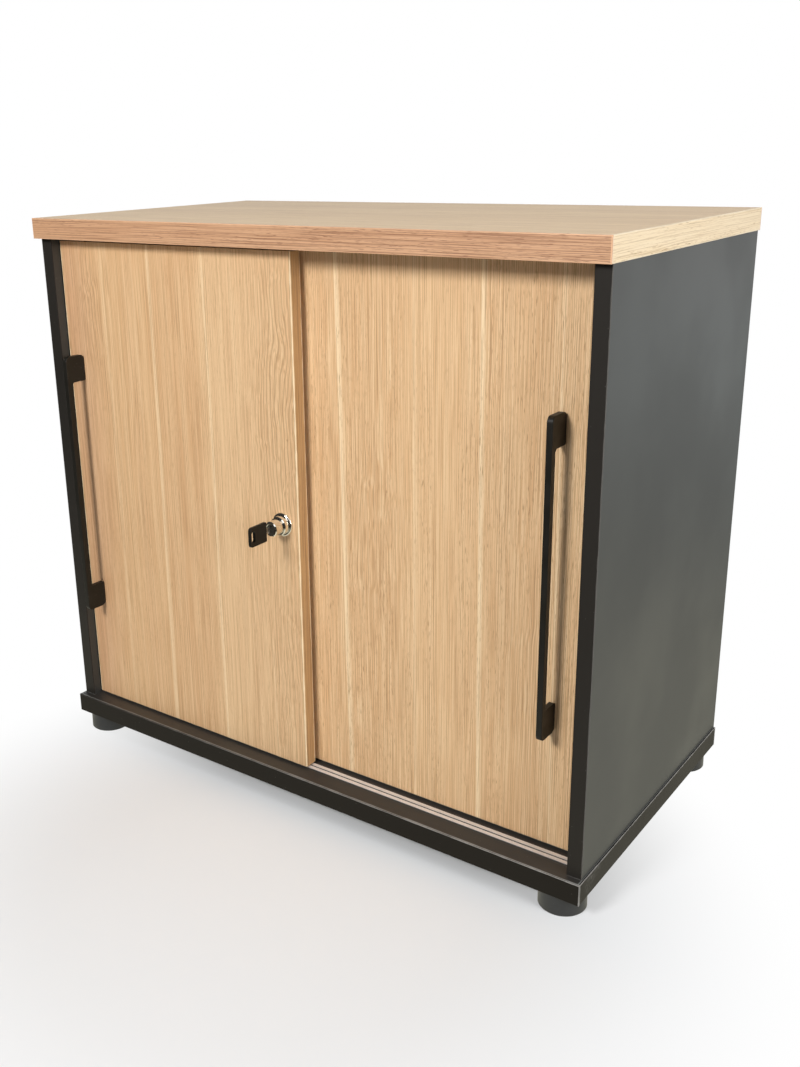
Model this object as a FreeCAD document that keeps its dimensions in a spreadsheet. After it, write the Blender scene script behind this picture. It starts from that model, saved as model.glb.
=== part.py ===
import FreeCAD, Part
import math
import os
import Sketcher

# Sliding-door office credenza. The frame is +X along the width, +Y towards the back, +Z up.
# The origin is on the floor, below the middle of the whole piece, key included.

doc = FreeCAD.newDocument("sliding_door_credenza")
sheet = doc.addObject("Spreadsheet::Sheet", "sizes")

# ---------------------------------------------------------------- driving dimensions, mm
DIMENSIONS = (
    ("width", 800, "over the top panel"),
    ("depth", 425, "over the top panel"),
    ("key_reach", 38, "key head in front of the top's front edge"),
    ("board", 26, "thickness of top and base"),
    ("banding", 2, "edge band of top, base and doors"),
    ("arris", 0.8, "rounding of the banded edges"),
    ("foot_rise", 24, "floor to underside of base"),
    ("side_tall", 658, "side panel, between base and top"),
    ("side_thick", 18, "side panel"),
    ("side_band", 1, "edge band of the side panels"),
    ("side_arris", 0.5, "rounding of the side panels' front edges"),
    ("overhang", 2.5, "top and base past each side"),
    ("side_setback", 11, "side's front edge behind the top's"),
    ("back_thick", 8, "back panel"),
    ("back_inset", 12, "back panel in front of the rear edge"),
    ("tongue", 7.5, "back panel into its grooves"),
    ("play", 0.2, "clearance of panel in groove"),
    ("door_setback", 24, "front door's face behind the top's front edge"),
    ("door_thick", 18, "both doors"),
    ("door_gap", 6.5, "between the doors"),
    ("door_play", 1.5, "door's closing edge to the side panel"),
    ("door_lift", 3, "base to door's lower edge"),
    ("door_drop", 4, "door's upper edge to the top panel"),
    ("front_edge", 9, "front door's free edge, right of the middle"),
    ("rear_edge", 33, "rear door's free edge, left of the middle"),
    ("track_wide", 12, "aluminium bottom and top tracks"),
    ("track_slot", 2.4, "groove of the bottom track"),
    ("track_tall", 7.5, "bottom track"),
    ("track_floor", 1.5, "floor of the bottom track"),
    ("track_sink", 6, "bottom track let into the base"),
    ("track_short", 0.5, "tracks and shelf, clear of each side panel"),
    ("track_screw_d", 1.5, "track screw"),
    ("track_screw_head", 2, "track screw's head"),
    ("track_screw_long", 12, "track screw below its head"),
    ("track_screw_end", 60, "first track screw from the track's end"),
    ("upper_tall", 8, "top track, flush with the top's underside"),
    ("upper_web", 2, "closed side of the top track"),
    ("upper_slot", 8, "channel of the top track"),
    ("wheel_r", 12, "door wheel"),
    ("wheel_wide", 1.8, "door wheel"),
    ("wheel_lift", 0.3, "wheel clear of the track's floor"),
    ("axle_d", 3, "wheel axle"),
    ("fit", 0.05, "radial running clearance"),
    ("carrier_long", 46, "wheel carrier"),
    ("carrier_wide", 12, "wheel carrier"),
    ("carrier_tall", 25, "wheel carrier"),
    ("carrier_slot", 2.8, "wheel slot in the carrier"),
    ("carrier_round", 2, "carrier's upright corners"),
    ("carrier_play", 0.4, "door's mortise over the carrier's size"),
    ("wheel_room", 2, "wheel slot round the wheel"),
    ("axle_short", 0.3, "axle's end inside the carrier's side"),
    ("hub_d", 8, "wheel's hub"),
    ("web_sink", 0.4, "wheel's web behind its rim and hub"),
    ("web_slope", 0.5, "slope from the web to the rim and hub"),
    ("rim_thick", 2.5, "wheel's rim"),
    ("tyre_round", 0.5, "wheel's outer corners"),
    ("carrier_inset", 60, "wheel's centre from the door's end"),
    ("guide_inset", 45, "top guide from the door's end"),
    ("guide_d", 8, "top guide's peg"),
    ("guide_hole", 18, "hole for the top guide's peg"),
    ("guide_collar_d", 11, "top guide's collar"),
    ("guide_collar", 1.5, "top guide's collar, upright"),
    ("nub_d", 6, "top guide in its track"),
    ("nub_gap", 0.7, "top guide below the track's web"),
    ("nub_bevel", 0.8, "top guide's tip"),
    ("grip_tall", 360, "handle, overall"),
    ("grip_drop", 1.5, "handle's middle below the door's"),
    ("grip_centres", 320, "handle screws"),
    ("grip_reach", 31.5, "handle in front of the door"),
    ("grip_bar", 8.5, "handle bar, front to back"),
    ("grip_wide", 7, "handle, side to side"),
    ("grip_foot", 35, "handle foot, along the handle"),
    ("grip_front_round", 7, "handle's outer corners, at the front"),
    ("grip_rear_round", 6.5, "handle's outer corners, at the door"),
    ("grip_inner_round", 4, "handle's corners behind the bar"),
    ("grip_root_round", 2.5, "handle's inner corners, at the door"),
    ("grip_rim", 0.7, "handle's long edges"),
    ("front_grip_inset", 24, "front handle from its door's closing edge"),
    ("rear_grip_inset", 41, "rear handle from its door's closing edge"),
    ("screw_d", 4, "handle screws"),
    ("screw_play", 0.5, "door's screw holes over the screw's size"),
    ("screw_in_grip", 12, "handle screw inside the handle"),
    ("screw_head_d", 8, "handle screw's head"),
    ("screw_head_tall", 2.4, "handle screw's head"),
    ("lock_inset", 25, "lock from the front door's free edge"),
    ("rosette_d", 30, "lock rosette"),
    ("rosette_thick", 2.5, "lock rosette"),
    ("rosette_round", 2, "lock rosette's front edge"),
    ("lock_bevel", 1, "bevelled edges of the lock's turned pieces"),
    ("lock_play", 0.1, "clearances inside the lock"),
    ("collar_d", 24, "lock barrel's collar"),
    ("collar_reach", 10, "collar in front of the door"),
    ("barrel_d", 22, "lock barrel through the door"),
    ("barrel_out", 2, "lock barrel and its nut behind the door"),
    ("barrel_end", 4, "lock barrel's inner wall"),
    ("barrel_lip", 0.5, "bevel round the barrel's mouth"),
    ("nut_d", 28, "fixing nut"),
    ("nut_flats", 25, "fixing nut, across its two flats"),
    ("push_d", 19, "push cylinder"),
    ("push_reach", 23.5, "push cylinder, unlocked, in front of the door"),
    ("push_in", 3, "push cylinder's inner end, behind the door's face"),
    ("plug_d", 12, "lock plug"),
    ("plug_sink", 0.5, "lock plug behind the push cylinder's face"),
    ("plug_long", 22, "lock plug"),
    ("bolt_d", 8, "lock bolt"),
    ("bolt_tip", 14, "bolt's tip, unlocked, behind the door's face"),
    ("strike_d", 18, "strike bush flange"),
    ("strike_proud", 3, "strike bush flange"),
    ("strike_play", 0.6, "strike bush round the bolt"),
    ("strike_stem_d", 13.8, "strike bush inside the rear door"),
    ("strike_long", 9.5, "strike bush inside the rear door"),
    ("spring_wire", 0.8, "return spring's wire"),
    ("key_long", 30, "key head"),
    ("key_tall", 24.5, "key head"),
    ("key_thick", 4, "key head"),
    ("blade_thick", 2, "key blade"),
    ("blade_tall", 7, "key blade"),
    ("blade_in", 18, "key blade inside the plug"),
    ("blade_seat", 8, "key blade inside its head"),
    ("blade_point", 1.5, "key blade's tip"),
    ("notch_first", 3, "first notch behind the plug's face"),
    ("notch_step", 3.4, "key's notches, centre to centre"),
    ("notch_half", 1.2, "half of a notch's width"),
    ("key_round", 4, "key head's front corners"),
    ("key_back_round", 1.5, "key head's corners at the blade"),
    ("key_rim", 0.8, "key head's long edges"),
    ("ring_inset", 2.2, "ring slot behind the key head's end"),
    ("ring_wide", 6.4, "ring slot"),
    ("ring_tall", 14, "ring slot"),
    ("ring_round", 3, "ring slot's corners"),
    ("pad_d", 55, "levelling foot"),
    ("pad_bevel", 1, "levelling foot's lower edge"),
    ("pad_taper", 0.4, "levelling foot's radius, less at its upper edge"),
    ("pad_gap", 0.3, "levelling foot below the base, and below its stem"),
    ("pad_side", 32, "foot's centre from the base's end"),
    ("pad_front", 28.5, "foot's centre from the base's long edge"),
    ("stem_d", 10, "foot's threaded stem"),
    ("stem_long", 34, "foot's threaded stem"),
    ("stem_seat", 6, "stem's lower end above the floor"),
    ("stem_play", 0.1, "radial clearance round the stem"),
    ("stem_bevel", 1, "stem's upper edge"),
    ("socket_r", 2.5, "hexagon socket in the stem, to its corners"),
    ("socket_deep", 5, "hexagon socket in the stem"),
    ("insert_d", 14, "threaded insert"),
    ("insert_tall", 20, "threaded insert"),
    ("shelf_thick", 18, "shelf"),
    ("shelf_deep", 318, "shelf"),
    ("shelf_gap", 4, "shelf clear of the back panel"),
    ("pin_inset", 40, "shelf pin from the shelf's long edge"),
    ("pin_pitch", 32, "shelf pin holes, centre to centre"),
    ("pin_d", 5, "shelf pin"),
    ("pin_drop", 4, "pin's centre below the shelf"),
    ("pin_foot", 3.5, "pin's angle below the pin's centre"),
    ("pin_wide", 10, "pin's angle, front to back"),
    ("pin_plate", 1.5, "thickness of the pin's angle"),
    ("pin_ledge", 11, "pin's ledge under the shelf"),
    ("pin_long", 9.5, "pin inside the side panel"),
    ("pin_hole", 12, "shelf pin holes"),
    ("cam_d", 15, "cam housing"),
    ("cam_deep", 12.5, "cam housing"),
    ("cam_end", 34, "cam's centre from the side panel's end"),
    ("cam_edge", 60, "cam fitting from the panel's long edge"),
    ("cam_slot", 7.4, "slot of the cam housing"),
    ("cross_long", 8, "cross recess of the cam"),
    ("cross_wide", 1.2, "cross recess of the cam"),
    ("cross_deep", 2, "cross recess of the cam"),
    ("rod_d", 6, "cam bolt"),
    ("rod_grip", 11, "cam bolt in the board's face"),
    ("rod_room", 1, "side panel's hole over the cam bolt's size"),
    ("rod_head", 2, "cam bolt's head"),
    ("rod_neck", 3, "cam bolt's neck, across and along"),
    ("dowel_d", 8, "wood dowel"),
    ("dowel_step", 32, "dowel from the cam fitting"),
    ("dowel_half", 13, "dowel in the board's face"),
    ("dowel_in", 20, "dowel in the side panel's end"),
    ("dowel_short", 0.5, "dowel's end clear of its hole's"),
    ("dowel_bevel", 1, "dowel's ends"),
    ("bumper_d", 8, "door bumper"),
    ("bumper_thick", 1.2, "door bumper"),
    ("bumper_end", 70, "bumper from the side panel's end"),
)
for row, (alias, value, meaning) in enumerate(DIMENSIONS, start=1):
    sheet.set(f"A{row}", meaning)
    sheet.set(f"B{row}", str(value))
    sheet.setAlias(f"B{row}", alias)
doc.recompute()


def ref(formula):
    """Formula in the words of the sheet, such as 'width / 2 - overhang', as an expression."""
    words = []
    for piece in formula.replace("(", " ( ").replace(")", " ) ").split():
        words.append(f"sizes.{piece}" if piece[0].isalpha() else piece)
    return " ".join(words)


def size(formula):
    return float(sheet.evalExpression(ref(formula)))


def less(formula):
    """The formula with its sign turned."""
    return f"( 0 - {formula} )"


# ---------------------------------------------------------------- places that pieces share
BACK = "( depth + key_reach ) / 2"
FRONT = f"( {BACK} - depth )"
SIDE_OUT = "( width / 2 - overhang )"
SIDE_IN = f"( {SIDE_OUT} - side_thick )"
BASE_TOP = "( foot_rise + board )"
TOP_LOW = f"( {BASE_TOP} + side_tall )"
FRONT_FACE = f"( {FRONT} + door_setback )"
REAR_FACE = f"( {FRONT_FACE} + door_thick + door_gap )"
FRONT_MID = f"( {FRONT_FACE} + door_thick / 2 )"
REAR_MID = f"( {REAR_FACE} + door_thick / 2 )"
DOOR_LOW = f"( {BASE_TOP} + door_lift )"
DOOR_TALL = "( side_tall - door_lift - door_drop )"
DOOR_MID = f"( {DOOR_LOW} + {DOOR_TALL} / 2 )"
GRIP_MID = f"( {DOOR_MID} - grip_drop )"
DOOR_END = f"( {SIDE_IN} - door_play )"
WHEEL_UP = "( track_floor - track_sink + wheel_lift + wheel_r - door_lift )"
WHEEL_Z = f"( {DOOR_LOW} + {WHEEL_UP} )"
LOCK_X = "( front_edge - lock_inset )"
SHELF_BACK = f"( {BACK} - back_inset - back_thick - shelf_gap )"
SHELF_LOW = f"( {BASE_TOP} + side_tall / 2 )"
SHELF_FRONT = f"( {SHELF_BACK} - shelf_deep )"
PIN_COUNT = 5


# ---------------------------------------------------------------- modelling helpers
def origin_of(body, role):
    return next(f for f in body.Origin.OriginFeatures if f.Role == role)


def place(thing, x, y, z):
    for axis, formula in zip("xyz", (x, y, z)):
        thing.setExpression(f"Placement.Base.{axis}", ref(formula))


def new_body(label):
    body = doc.addObject("PartDesign::Body", label)
    body.Label = label
    return body


def new_sketch(body, role, height="0"):
    """Sketch on one of the body's own planes, raised along the plane's normal."""
    sketch = body.newObject("Sketcher::SketchObject", f"{body.Name}_outline")
    sketch.AttachmentSupport = [(origin_of(body, role), "")]
    sketch.MapMode = "FlatFace"
    sketch.setExpression("AttachmentOffset.Base.z", ref(height))
    return sketch


def hold_point(sketch, geometry, end, x, y):
    """Ties a sketch point to the sketch's origin by two formulas."""
    for kind, formula in (("DistanceX", x), ("DistanceY", y)):
        held = sketch.addConstraint(
            Sketcher.Constraint(kind, -1, 1, geometry, end, size(formula))
        )
        sketch.setExpression(f"Constraints[{held}]", ref(formula))


def outline(sketch, *points):
    """Closed outline of straight lines through points given as pairs of formulas."""
    first = sketch.GeometryCount
    corners = [FreeCAD.Vector(size(x), size(y), 0) for x, y in points]
    count = len(corners)
    for n in range(count):
        sketch.addGeometry(Part.LineSegment(corners[n], corners[(n + 1) % count]), False)
    for n in range(count):
        joint = Sketcher.Constraint("Coincident", first + n, 2, first + (n + 1) % count, 1)
        sketch.addConstraint(joint)
    for n, (x, y) in enumerate(points):
        hold_point(sketch, first + n, 1, x, y)


def rectangle(sketch, left, low, wide, high):
    right = f"{left} + {wide}"
    top = f"{low} + {high}"
    outline(sketch, (left, low), (right, low), (right, top), (left, top))


def circle(sketch, x, y, diameter):
    middle = FreeCAD.Vector(size(x), size(y), 0)
    edge = sketch.addGeometry(Part.Circle(middle, FreeCAD.Vector(0, 0, 1), size(diameter) / 2))
    bound = sketch.addConstraint(Sketcher.Constraint("Diameter", edge, size(diameter)))
    sketch.setExpression(f"Constraints[{bound}]", ref(diameter))
    hold_point(sketch, edge, 3, x, y)


def centred(sketch, wide, high):
    """Rectangle about the sketch's origin."""
    rectangle(sketch, f"0 - {wide} / 2", f"0 - {high} / 2", wide, high)


def pad(body, sketch, length, backwards=False):
    feature = body.newObject("PartDesign::Pad", f"{body.Name}_pad")
    feature.Profile = sketch
    feature.setExpression("Length", ref(length))
    feature.Reversed = backwards
    doc.recompute()
    return feature


def pocket(body, sketch, deep, backwards=False):
    """Cuts the sketch into the body; the volume shows that it cut."""
    before = body.Shape.Volume
    feature = body.newObject("PartDesign::Pocket", f"{body.Name}_pocket")
    feature.Profile = sketch
    feature.setExpression("Length", ref(deep))
    feature.Reversed = backwards
    doc.recompute()
    if not body.Shape.Volume < before:
        raise RuntimeError(f"{body.Label}: a pocket cut nothing")
    return feature


def repeat(body, feature, role, step, count):
    """Repeats a feature along one of the body's axes."""
    pattern = body.newObject("PartDesign::LinearPattern", f"{body.Name}_row")
    pattern.Originals = [feature]
    pattern.Direction = (origin_of(body, role), [""])
    pattern.Mode = "Spacing"
    pattern.setExpression("Offset", ref(step))
    pattern.Occurrences = count
    body.Tip = pattern
    doc.recompute()
    return pattern


def edges_where(body, test):
    names = []
    for number, edge in enumerate(body.Shape.Edges, start=1):
        points = [vertex.Point.sub(body.Placement.Base) for vertex in edge.Vertexes]
        if points and test(points):
            names.append(f"Edge{number}")
    return names


def round_edges(body, test, radius):
    """Fillets the edges whose end points, in the body's own frame, pass the test."""
    names = edges_where(body, test)
    if not names:
        raise RuntimeError(f"{body.Label}: no edge to round")
    base = body.Tip
    fillet = body.newObject("PartDesign::Fillet", f"{body.Name}_fillet")
    fillet.Base = (base, names)
    fillet.setExpression("Radius", ref(radius))
    doc.recompute()
    if "Invalid" in fillet.State:
        raise RuntimeError(f"{body.Label}: a rounding failed")
    return fillet


def same(number, formula):
    return abs(number - size(formula)) < 1e-4


def level(ends, axis):
    """Whether an edge's ends have the same place along the axis."""
    return abs(getattr(ends[0], axis) - getattr(ends[-1], axis)) < 1e-4


def board(label, role, wide, high, thick):
    """Flat board with its low corner at its own origin: a rectangle padded to thickness."""
    body = new_body(label)
    sketch = new_sketch(body, role)
    rectangle(sketch, "0", "0", wide, high)
    pad(body, sketch, thick, role == "XZ_Plane")
    return body


def turned(label, axis, *points):
    """Turned piece: its half section, as (radius, place along the axis), about Y or Z."""
    body = new_body(label)
    sketch = new_sketch(body, "XY_Plane" if axis == "Y" else "XZ_Plane")
    outline(sketch, *points)
    revolved = body.newObject("PartDesign::Revolution", f"{label}_turn")
    revolved.Profile = sketch
    revolved.ReferenceAxis = (origin_of(body, f"{axis}_Axis"), [""])
    revolved.Angle = 360
    doc.recompute()
    return body


def copies(label, pattern, places):
    """One node of identical solids: the pattern piece at each place, some of them turned."""
    links = []
    for number, (x, y, z, turn) in enumerate(places):
        link = doc.addObject("App::Link", f"{label}_{number}")
        link.LinkedObject = pattern
        link.Placement = FreeCAD.Placement(FreeCAD.Vector(), turn)
        place(link, x, y, z)
        links.append(link)
    group = doc.addObject("Part::Compound", label)
    group.Label = label
    group.Links = links
    doc.recompute()
    return group


UPRIGHT = FreeCAD.Rotation()
OVER = FreeCAD.Rotation(FreeCAD.Vector(1, 0, 0), 180)
ALONG_X = FreeCAD.Rotation(FreeCAD.Vector(0, 1, 0), 90)
AGAINST_X = FreeCAD.Rotation(FreeCAD.Vector(0, 1, 0), -90)
HALF_TURN = FreeCAD.Rotation(FreeCAD.Vector(0, 0, 1), 180)

nodes = []


def node(piece):
    nodes.append(piece)
    return piece


# ---------------------------------------------------------------- top and base boards
CORE_WIDE = "( width - 2 * banding )"
CORE_DEEP = "( depth - 2 * banding )"
CAM_X = "( overhang + side_thick / 2 - banding )"
GROOVE_DEEP = "( tongue + play )"
GROOVE_WIDE = "( back_thick + play )"
TRACK_LONG = f"( 2 * {SIDE_IN} - 2 * track_short )"


def slab(label, low):
    """Core of the top or the base, inside its edge bands."""
    body = board(label, "XY_Plane", CORE_WIDE, CORE_DEEP, "board")
    place(body, "banding - width / 2", f"{FRONT} + banding", low)
    return body


def fitting_rows():
    """Places along the side panel's depth of its cam fittings and dowels, from the top's front."""
    near = "( side_setback + cam_edge )"
    far = "( depth - cam_edge )"
    return (near, far), (f"( {near} + dowel_step )", f"( {far} - dowel_step )")


def slab_joints(body, height, backwards):
    """Holes for cam bolts and dowels, and the back panel's groove, in one face of a slab."""
    cams, dowels = fitting_rows()
    for rows, across, deep in ((cams, "rod_d", "rod_grip"), (dowels, "dowel_d", "dowel_half")):
        sketch = new_sketch(body, "XY_Plane", height)
        for x in (CAM_X, f"( {CORE_WIDE} - {CAM_X} )"):
            for y in rows:
                circle(sketch, x, f"{y} - banding", across)
        pocket(body, sketch, deep, backwards)
    inner = f"( width / 2 - banding - {SIDE_IN} - {GROOVE_DEEP} )"
    back = f"( {CORE_DEEP} + banding - back_inset - {GROOVE_WIDE} )"
    sketch = new_sketch(body, "XY_Plane", height)
    rectangle(sketch, inner, back, f"( {CORE_WIDE} - 2 * {inner} )", GROOVE_WIDE)
    pocket(body, sketch, GROOVE_DEEP, backwards)


def track_grooves(body, height, deep, backwards):
    """Two grooves, one under or over the middle of each door."""
    sketch = new_sketch(body, "XY_Plane", height)
    end = f"( width / 2 - banding - {SIDE_IN} + track_short )"
    for middle in (FRONT_MID, REAR_MID):
        near = f"( {middle} - {FRONT} - banding - track_wide / 2 )"
        rectangle(sketch, end, near, TRACK_LONG, "track_wide")
    pocket(body, sketch, deep, backwards)


top_panel = node(slab("top_panel", TOP_LOW))
slab_joints(top_panel, "0", True)
track_grooves(top_panel, "0", "upper_tall", True)

base_panel = node(slab("base_panel", "foot_rise"))
slab_joints(base_panel, "board", False)
track_grooves(base_panel, "board", "track_sink", False)
foot_sketch = new_sketch(base_panel, "XY_Plane")
for foot_x in ("pad_side - banding", "width - pad_side - banding"):
    for foot_y in ("pad_front - banding", "depth - pad_front - banding"):
        circle(foot_sketch, foot_x, foot_y, "insert_d")
pocket(base_panel, foot_sketch, "insert_tall", True)


def long_band(label, low, at_front):
    """Band along a slab's front or back edge, its outer arrises rounded."""
    body = board(label, "XY_Plane", "width", "banding", "board")
    place(body, "0 - width / 2", FRONT if at_front else f"{BACK} - banding", low)
    face = "0" if at_front else "banding"
    round_edges(body, lambda ends: all(same(p.y, face) for p in ends), "arris")
    return node(body)


def end_bands(label, low):
    """Bands of a slab's two ends, between the front and back bands."""
    strip = board(f"{label}_strip", "XY_Plane", "banding", CORE_DEEP, "board")

    def outer_lengths(ends):
        return all(same(p.x, "0") for p in ends) and level(ends, "z")

    round_edges(strip, outer_lengths, "arris")
    left = ("0 - width / 2", f"{FRONT} + banding", low, UPRIGHT)
    right = ("width / 2", f"{BACK} - banding", low, HALF_TURN)
    return node(copies(label, strip, (left, right)))


for slab_name, slab_low in (("top", TOP_LOW), ("base", "foot_rise")):
    long_band(f"{slab_name}_front_band", slab_low, True)
    long_band(f"{slab_name}_back_band", slab_low, False)
    end_bands(f"{slab_name}_end_bands", slab_low)

# ---------------------------------------------------------------- side panels
SIDE_DEEP = "( depth - side_setback - side_band )"
SHELF_REAR = f"( {BACK} - {SHELF_BACK} )"


def side_panel(label, left):
    """Side panel; its inner face has the back groove, the shelf pin rows and the cam seats."""
    body = board(label, "YZ_Plane", SIDE_DEEP, "side_tall", "side_thick")
    x = f"0 - {SIDE_OUT}" if left else SIDE_IN
    place(body, x, f"{FRONT} + side_setback + side_band", BASE_TOP)
    inner = "side_thick" if left else "0"
    cams, dowels = (
        [f"( {y} - side_setback - side_band )" for y in rows] for rows in fitting_rows()
    )

    groove = new_sketch(body, "YZ_Plane", inner)
    back = f"( {SIDE_DEEP} - back_inset - {GROOVE_WIDE} )"
    rectangle(groove, back, "0", GROOVE_WIDE, "side_tall")
    pocket(body, groove, GROOVE_DEEP, not left)

    seats = new_sketch(body, "YZ_Plane", inner)
    for y in cams:
        for z in ("cam_end", "side_tall - cam_end"):
            circle(seats, y, z, "cam_d")
    pocket(body, seats, "cam_deep + play", not left)

    ends_holes = ((cams, "rod_d + rod_room", "cam_end"), (dowels, "dowel_d", "dowel_in"))
    for rows, across, deep in ends_holes:
        for height, backwards in (("0", True), ("side_tall", False)):
            ends = new_sketch(body, "XY_Plane", height)
            for y in rows:
                circle(ends, "side_thick / 2", y, across)
            pocket(body, ends, deep, backwards)

    pins = new_sketch(body, "YZ_Plane", inner)
    low = f"( side_tall / 2 - pin_drop - {PIN_COUNT // 2} * pin_pitch )"
    rear = f"( {SIDE_DEEP} - {SHELF_REAR} - pin_inset )"
    circle(pins, rear, low, "pin_d")
    circle(pins, f"( {rear} - shelf_deep + 2 * pin_inset )", low, "pin_d")
    first = pocket(body, pins, "pin_hole", not left)
    repeat(body, first, "Z_Axis", "pin_pitch", PIN_COUNT)
    return node(body)


side_panel("left_side_panel", True)
side_panel("right_side_panel", False)

side_strip = board("side_strip", "XY_Plane", "side_thick", "side_band", "side_tall")
round_edges(
    side_strip,
    lambda ends: all(same(p.y, "0") for p in ends) and level(ends, "x"),
    "side_arris",
)
side_y = f"{FRONT} + side_setback"
side_places = [(x, side_y, BASE_TOP, UPRIGHT) for x in (f"0 - {SIDE_OUT}", SIDE_IN)]
node(copies("side_front_bands", side_strip, side_places))

# ---------------------------------------------------------------- back, shelf and shelf pins
back_panel = node(
    board(
        "back_panel",
        "XZ_Plane",
        f"( 2 * {SIDE_IN} + 2 * tongue )",
        "( side_tall + 2 * tongue )",
        "back_thick",
    )
)
place(
    back_panel,
    f"0 - {SIDE_IN} - tongue",
    f"{BACK} - back_inset - back_thick - play / 2",
    f"{BASE_TOP} - tongue",
)

shelf = node(board("shelf", "XY_Plane", TRACK_LONG, "shelf_deep - banding", "shelf_thick"))
place(shelf, f"0 - {TRACK_LONG} / 2", f"{SHELF_FRONT} + banding", SHELF_LOW)
shelf_band = node(board("shelf_front_band", "XY_Plane", TRACK_LONG, "banding", "shelf_thick"))
place(shelf_band, f"0 - {TRACK_LONG} / 2", SHELF_FRONT, SHELF_LOW)

# Shelf pin: a peg for the side panel's hole and an angle under the shelf.
PIN_TALL = "( pin_drop + pin_foot )"
shelf_pin = board("shelf_pin", "XZ_Plane", "pin_plate", PIN_TALL, "pin_wide")
ledge = new_sketch(shelf_pin, "XZ_Plane")
rectangle(ledge, "pin_plate", f"{PIN_TALL} - pin_plate", "pin_ledge", "pin_plate")
pad(shelf_pin, ledge, "pin_wide", True)
peg = new_sketch(shelf_pin, "YZ_Plane", "0 - pin_long")
circle(peg, "pin_wide / 2", "pin_foot", "pin_d - play")
pad(shelf_pin, peg, "pin_long")
pin_places = []
for pin_y in (f"{SHELF_BACK} - pin_inset", f"{SHELF_FRONT} + pin_inset"):
    pin_z = f"{SHELF_LOW} - {PIN_TALL}"
    pin_places.append((f"0 - {SIDE_IN}", f"{pin_y} - pin_wide / 2", pin_z, UPRIGHT))
    pin_places.append((SIDE_IN, f"{pin_y} + pin_wide / 2", pin_z, HALF_TURN))
node(copies("shelf_pins", shelf_pin, pin_places))

# ---------------------------------------------------------------- tracks
track = new_body("track_length")
track_sketch = new_sketch(track, "YZ_Plane")
SLOT_NEAR = "( track_wide / 2 - track_slot / 2 )"
SLOT_FAR = "( track_wide / 2 + track_slot / 2 )"
outline(
    track_sketch,
    ("0", "0"),
    ("track_wide", "0"),
    ("track_wide", "track_tall"),
    (SLOT_FAR, "track_tall"),
    (SLOT_FAR, "track_floor"),
    (SLOT_NEAR, "track_floor"),
    (SLOT_NEAR, "track_tall"),
    ("0", "track_tall"),
)
pad(track, track_sketch, TRACK_LONG)
SCREWS_X = ("track_screw_end", f"( {TRACK_LONG} / 2 )", f"( {TRACK_LONG} - track_screw_end )")
screw_seats = (("track_screw_d", "track_floor"), ("track_screw_head", "track_floor / 2"))
for across, deep in screw_seats:
    screw_holes = new_sketch(track, "XY_Plane", "track_floor")
    for screw_x in SCREWS_X:
        circle(screw_holes, screw_x, "track_wide / 2", f"{across} + play")
    pocket(track, screw_holes, deep)
track_places = []
for middle_y in (FRONT_MID, REAR_MID):
    near_y = f"{middle_y} - track_wide / 2"
    track_places.append((f"0 - {TRACK_LONG} / 2", near_y, f"{BASE_TOP} - track_sink", UPRIGHT))
node(copies("bottom_tracks", track, track_places))

track_screw = turned(
    "track_screw",
    "Z",
    ("0", "0 - track_screw_long"),
    ("track_screw_d / 2", "track_screw_d - track_screw_long"),
    ("track_screw_d / 2", "0"),
    ("track_screw_head / 2", "0"),
    ("track_screw_head / 2", "track_floor / 2"),
    ("0", "track_floor / 2"),
)
screw_places = []
pilots = new_sketch(base_panel, "XY_Plane", "board - track_sink")
for middle_y in (FRONT_MID, REAR_MID):
    for screw_x in SCREWS_X:
        from_middle = f"( {screw_x} - {TRACK_LONG} / 2 )"
        head_z = f"{BASE_TOP} - track_sink + track_floor / 2"
        screw_places.append((from_middle, middle_y, head_z, UPRIGHT))
        pilot_x = f"{from_middle} + width / 2 - banding"
        circle(pilots, pilot_x, f"{middle_y} - {FRONT} - banding", "track_screw_d")
node(copies("track_screws", track_screw, screw_places))
pocket(base_panel, pilots, "track_screw_long")

upper = new_body("upper_length")
upper_sketch = new_sketch(upper, "YZ_Plane")
outline(
    upper_sketch,
    ("0", "0"),
    ("track_wide / 2 - upper_slot / 2", "0"),
    ("track_wide / 2 - upper_slot / 2", "upper_tall - upper_web"),
    ("track_wide / 2 + upper_slot / 2", "upper_tall - upper_web"),
    ("track_wide / 2 + upper_slot / 2", "0"),
    ("track_wide", "0"),
    ("track_wide", "upper_tall"),
    ("0", "upper_tall"),
)
pad(upper, upper_sketch, TRACK_LONG)
upper_places = []
for middle_y in (FRONT_MID, REAR_MID):
    near_y = f"{middle_y} - track_wide / 2"
    upper_places.append((f"0 - {TRACK_LONG} / 2", near_y, TOP_LOW, UPRIGHT))
node(copies("top_tracks", upper, upper_places))

# ---------------------------------------------------------------- knock-down fittings
CAM_AT = f"( {SIDE_OUT} - side_thick / 2 )"
cams_y, dowels_y = ([f"( {FRONT} + {y} )" for y in rows] for rows in fitting_rows())

# Cam: a drum with a slot to its middle, where the bolt's head enters.
cam = new_body("cam")
cam_sketch = new_sketch(cam, "XY_Plane")
circle(cam_sketch, "0", "0", "cam_d - play")
pad(cam, cam_sketch, "cam_deep")
cam_slot = new_sketch(cam, "XY_Plane")
CAM_BOLT_UP = "( cam_deep + play - side_thick / 2 )"
rectangle(cam_slot, "0 - cam_slot / 2", "0 - cam_slot / 2", "cam_d", "cam_slot")
pocket(cam, cam_slot, f"{CAM_BOLT_UP} + cam_slot / 2", True)
for cross_x, cross_y in (("cross_long", "cross_wide"), ("cross_wide", "cross_long")):
    recess = new_sketch(cam, "XY_Plane", "cam_deep")
    centred(recess, cross_x, cross_y)
    pocket(cam, recess, "cross_deep")

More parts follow.
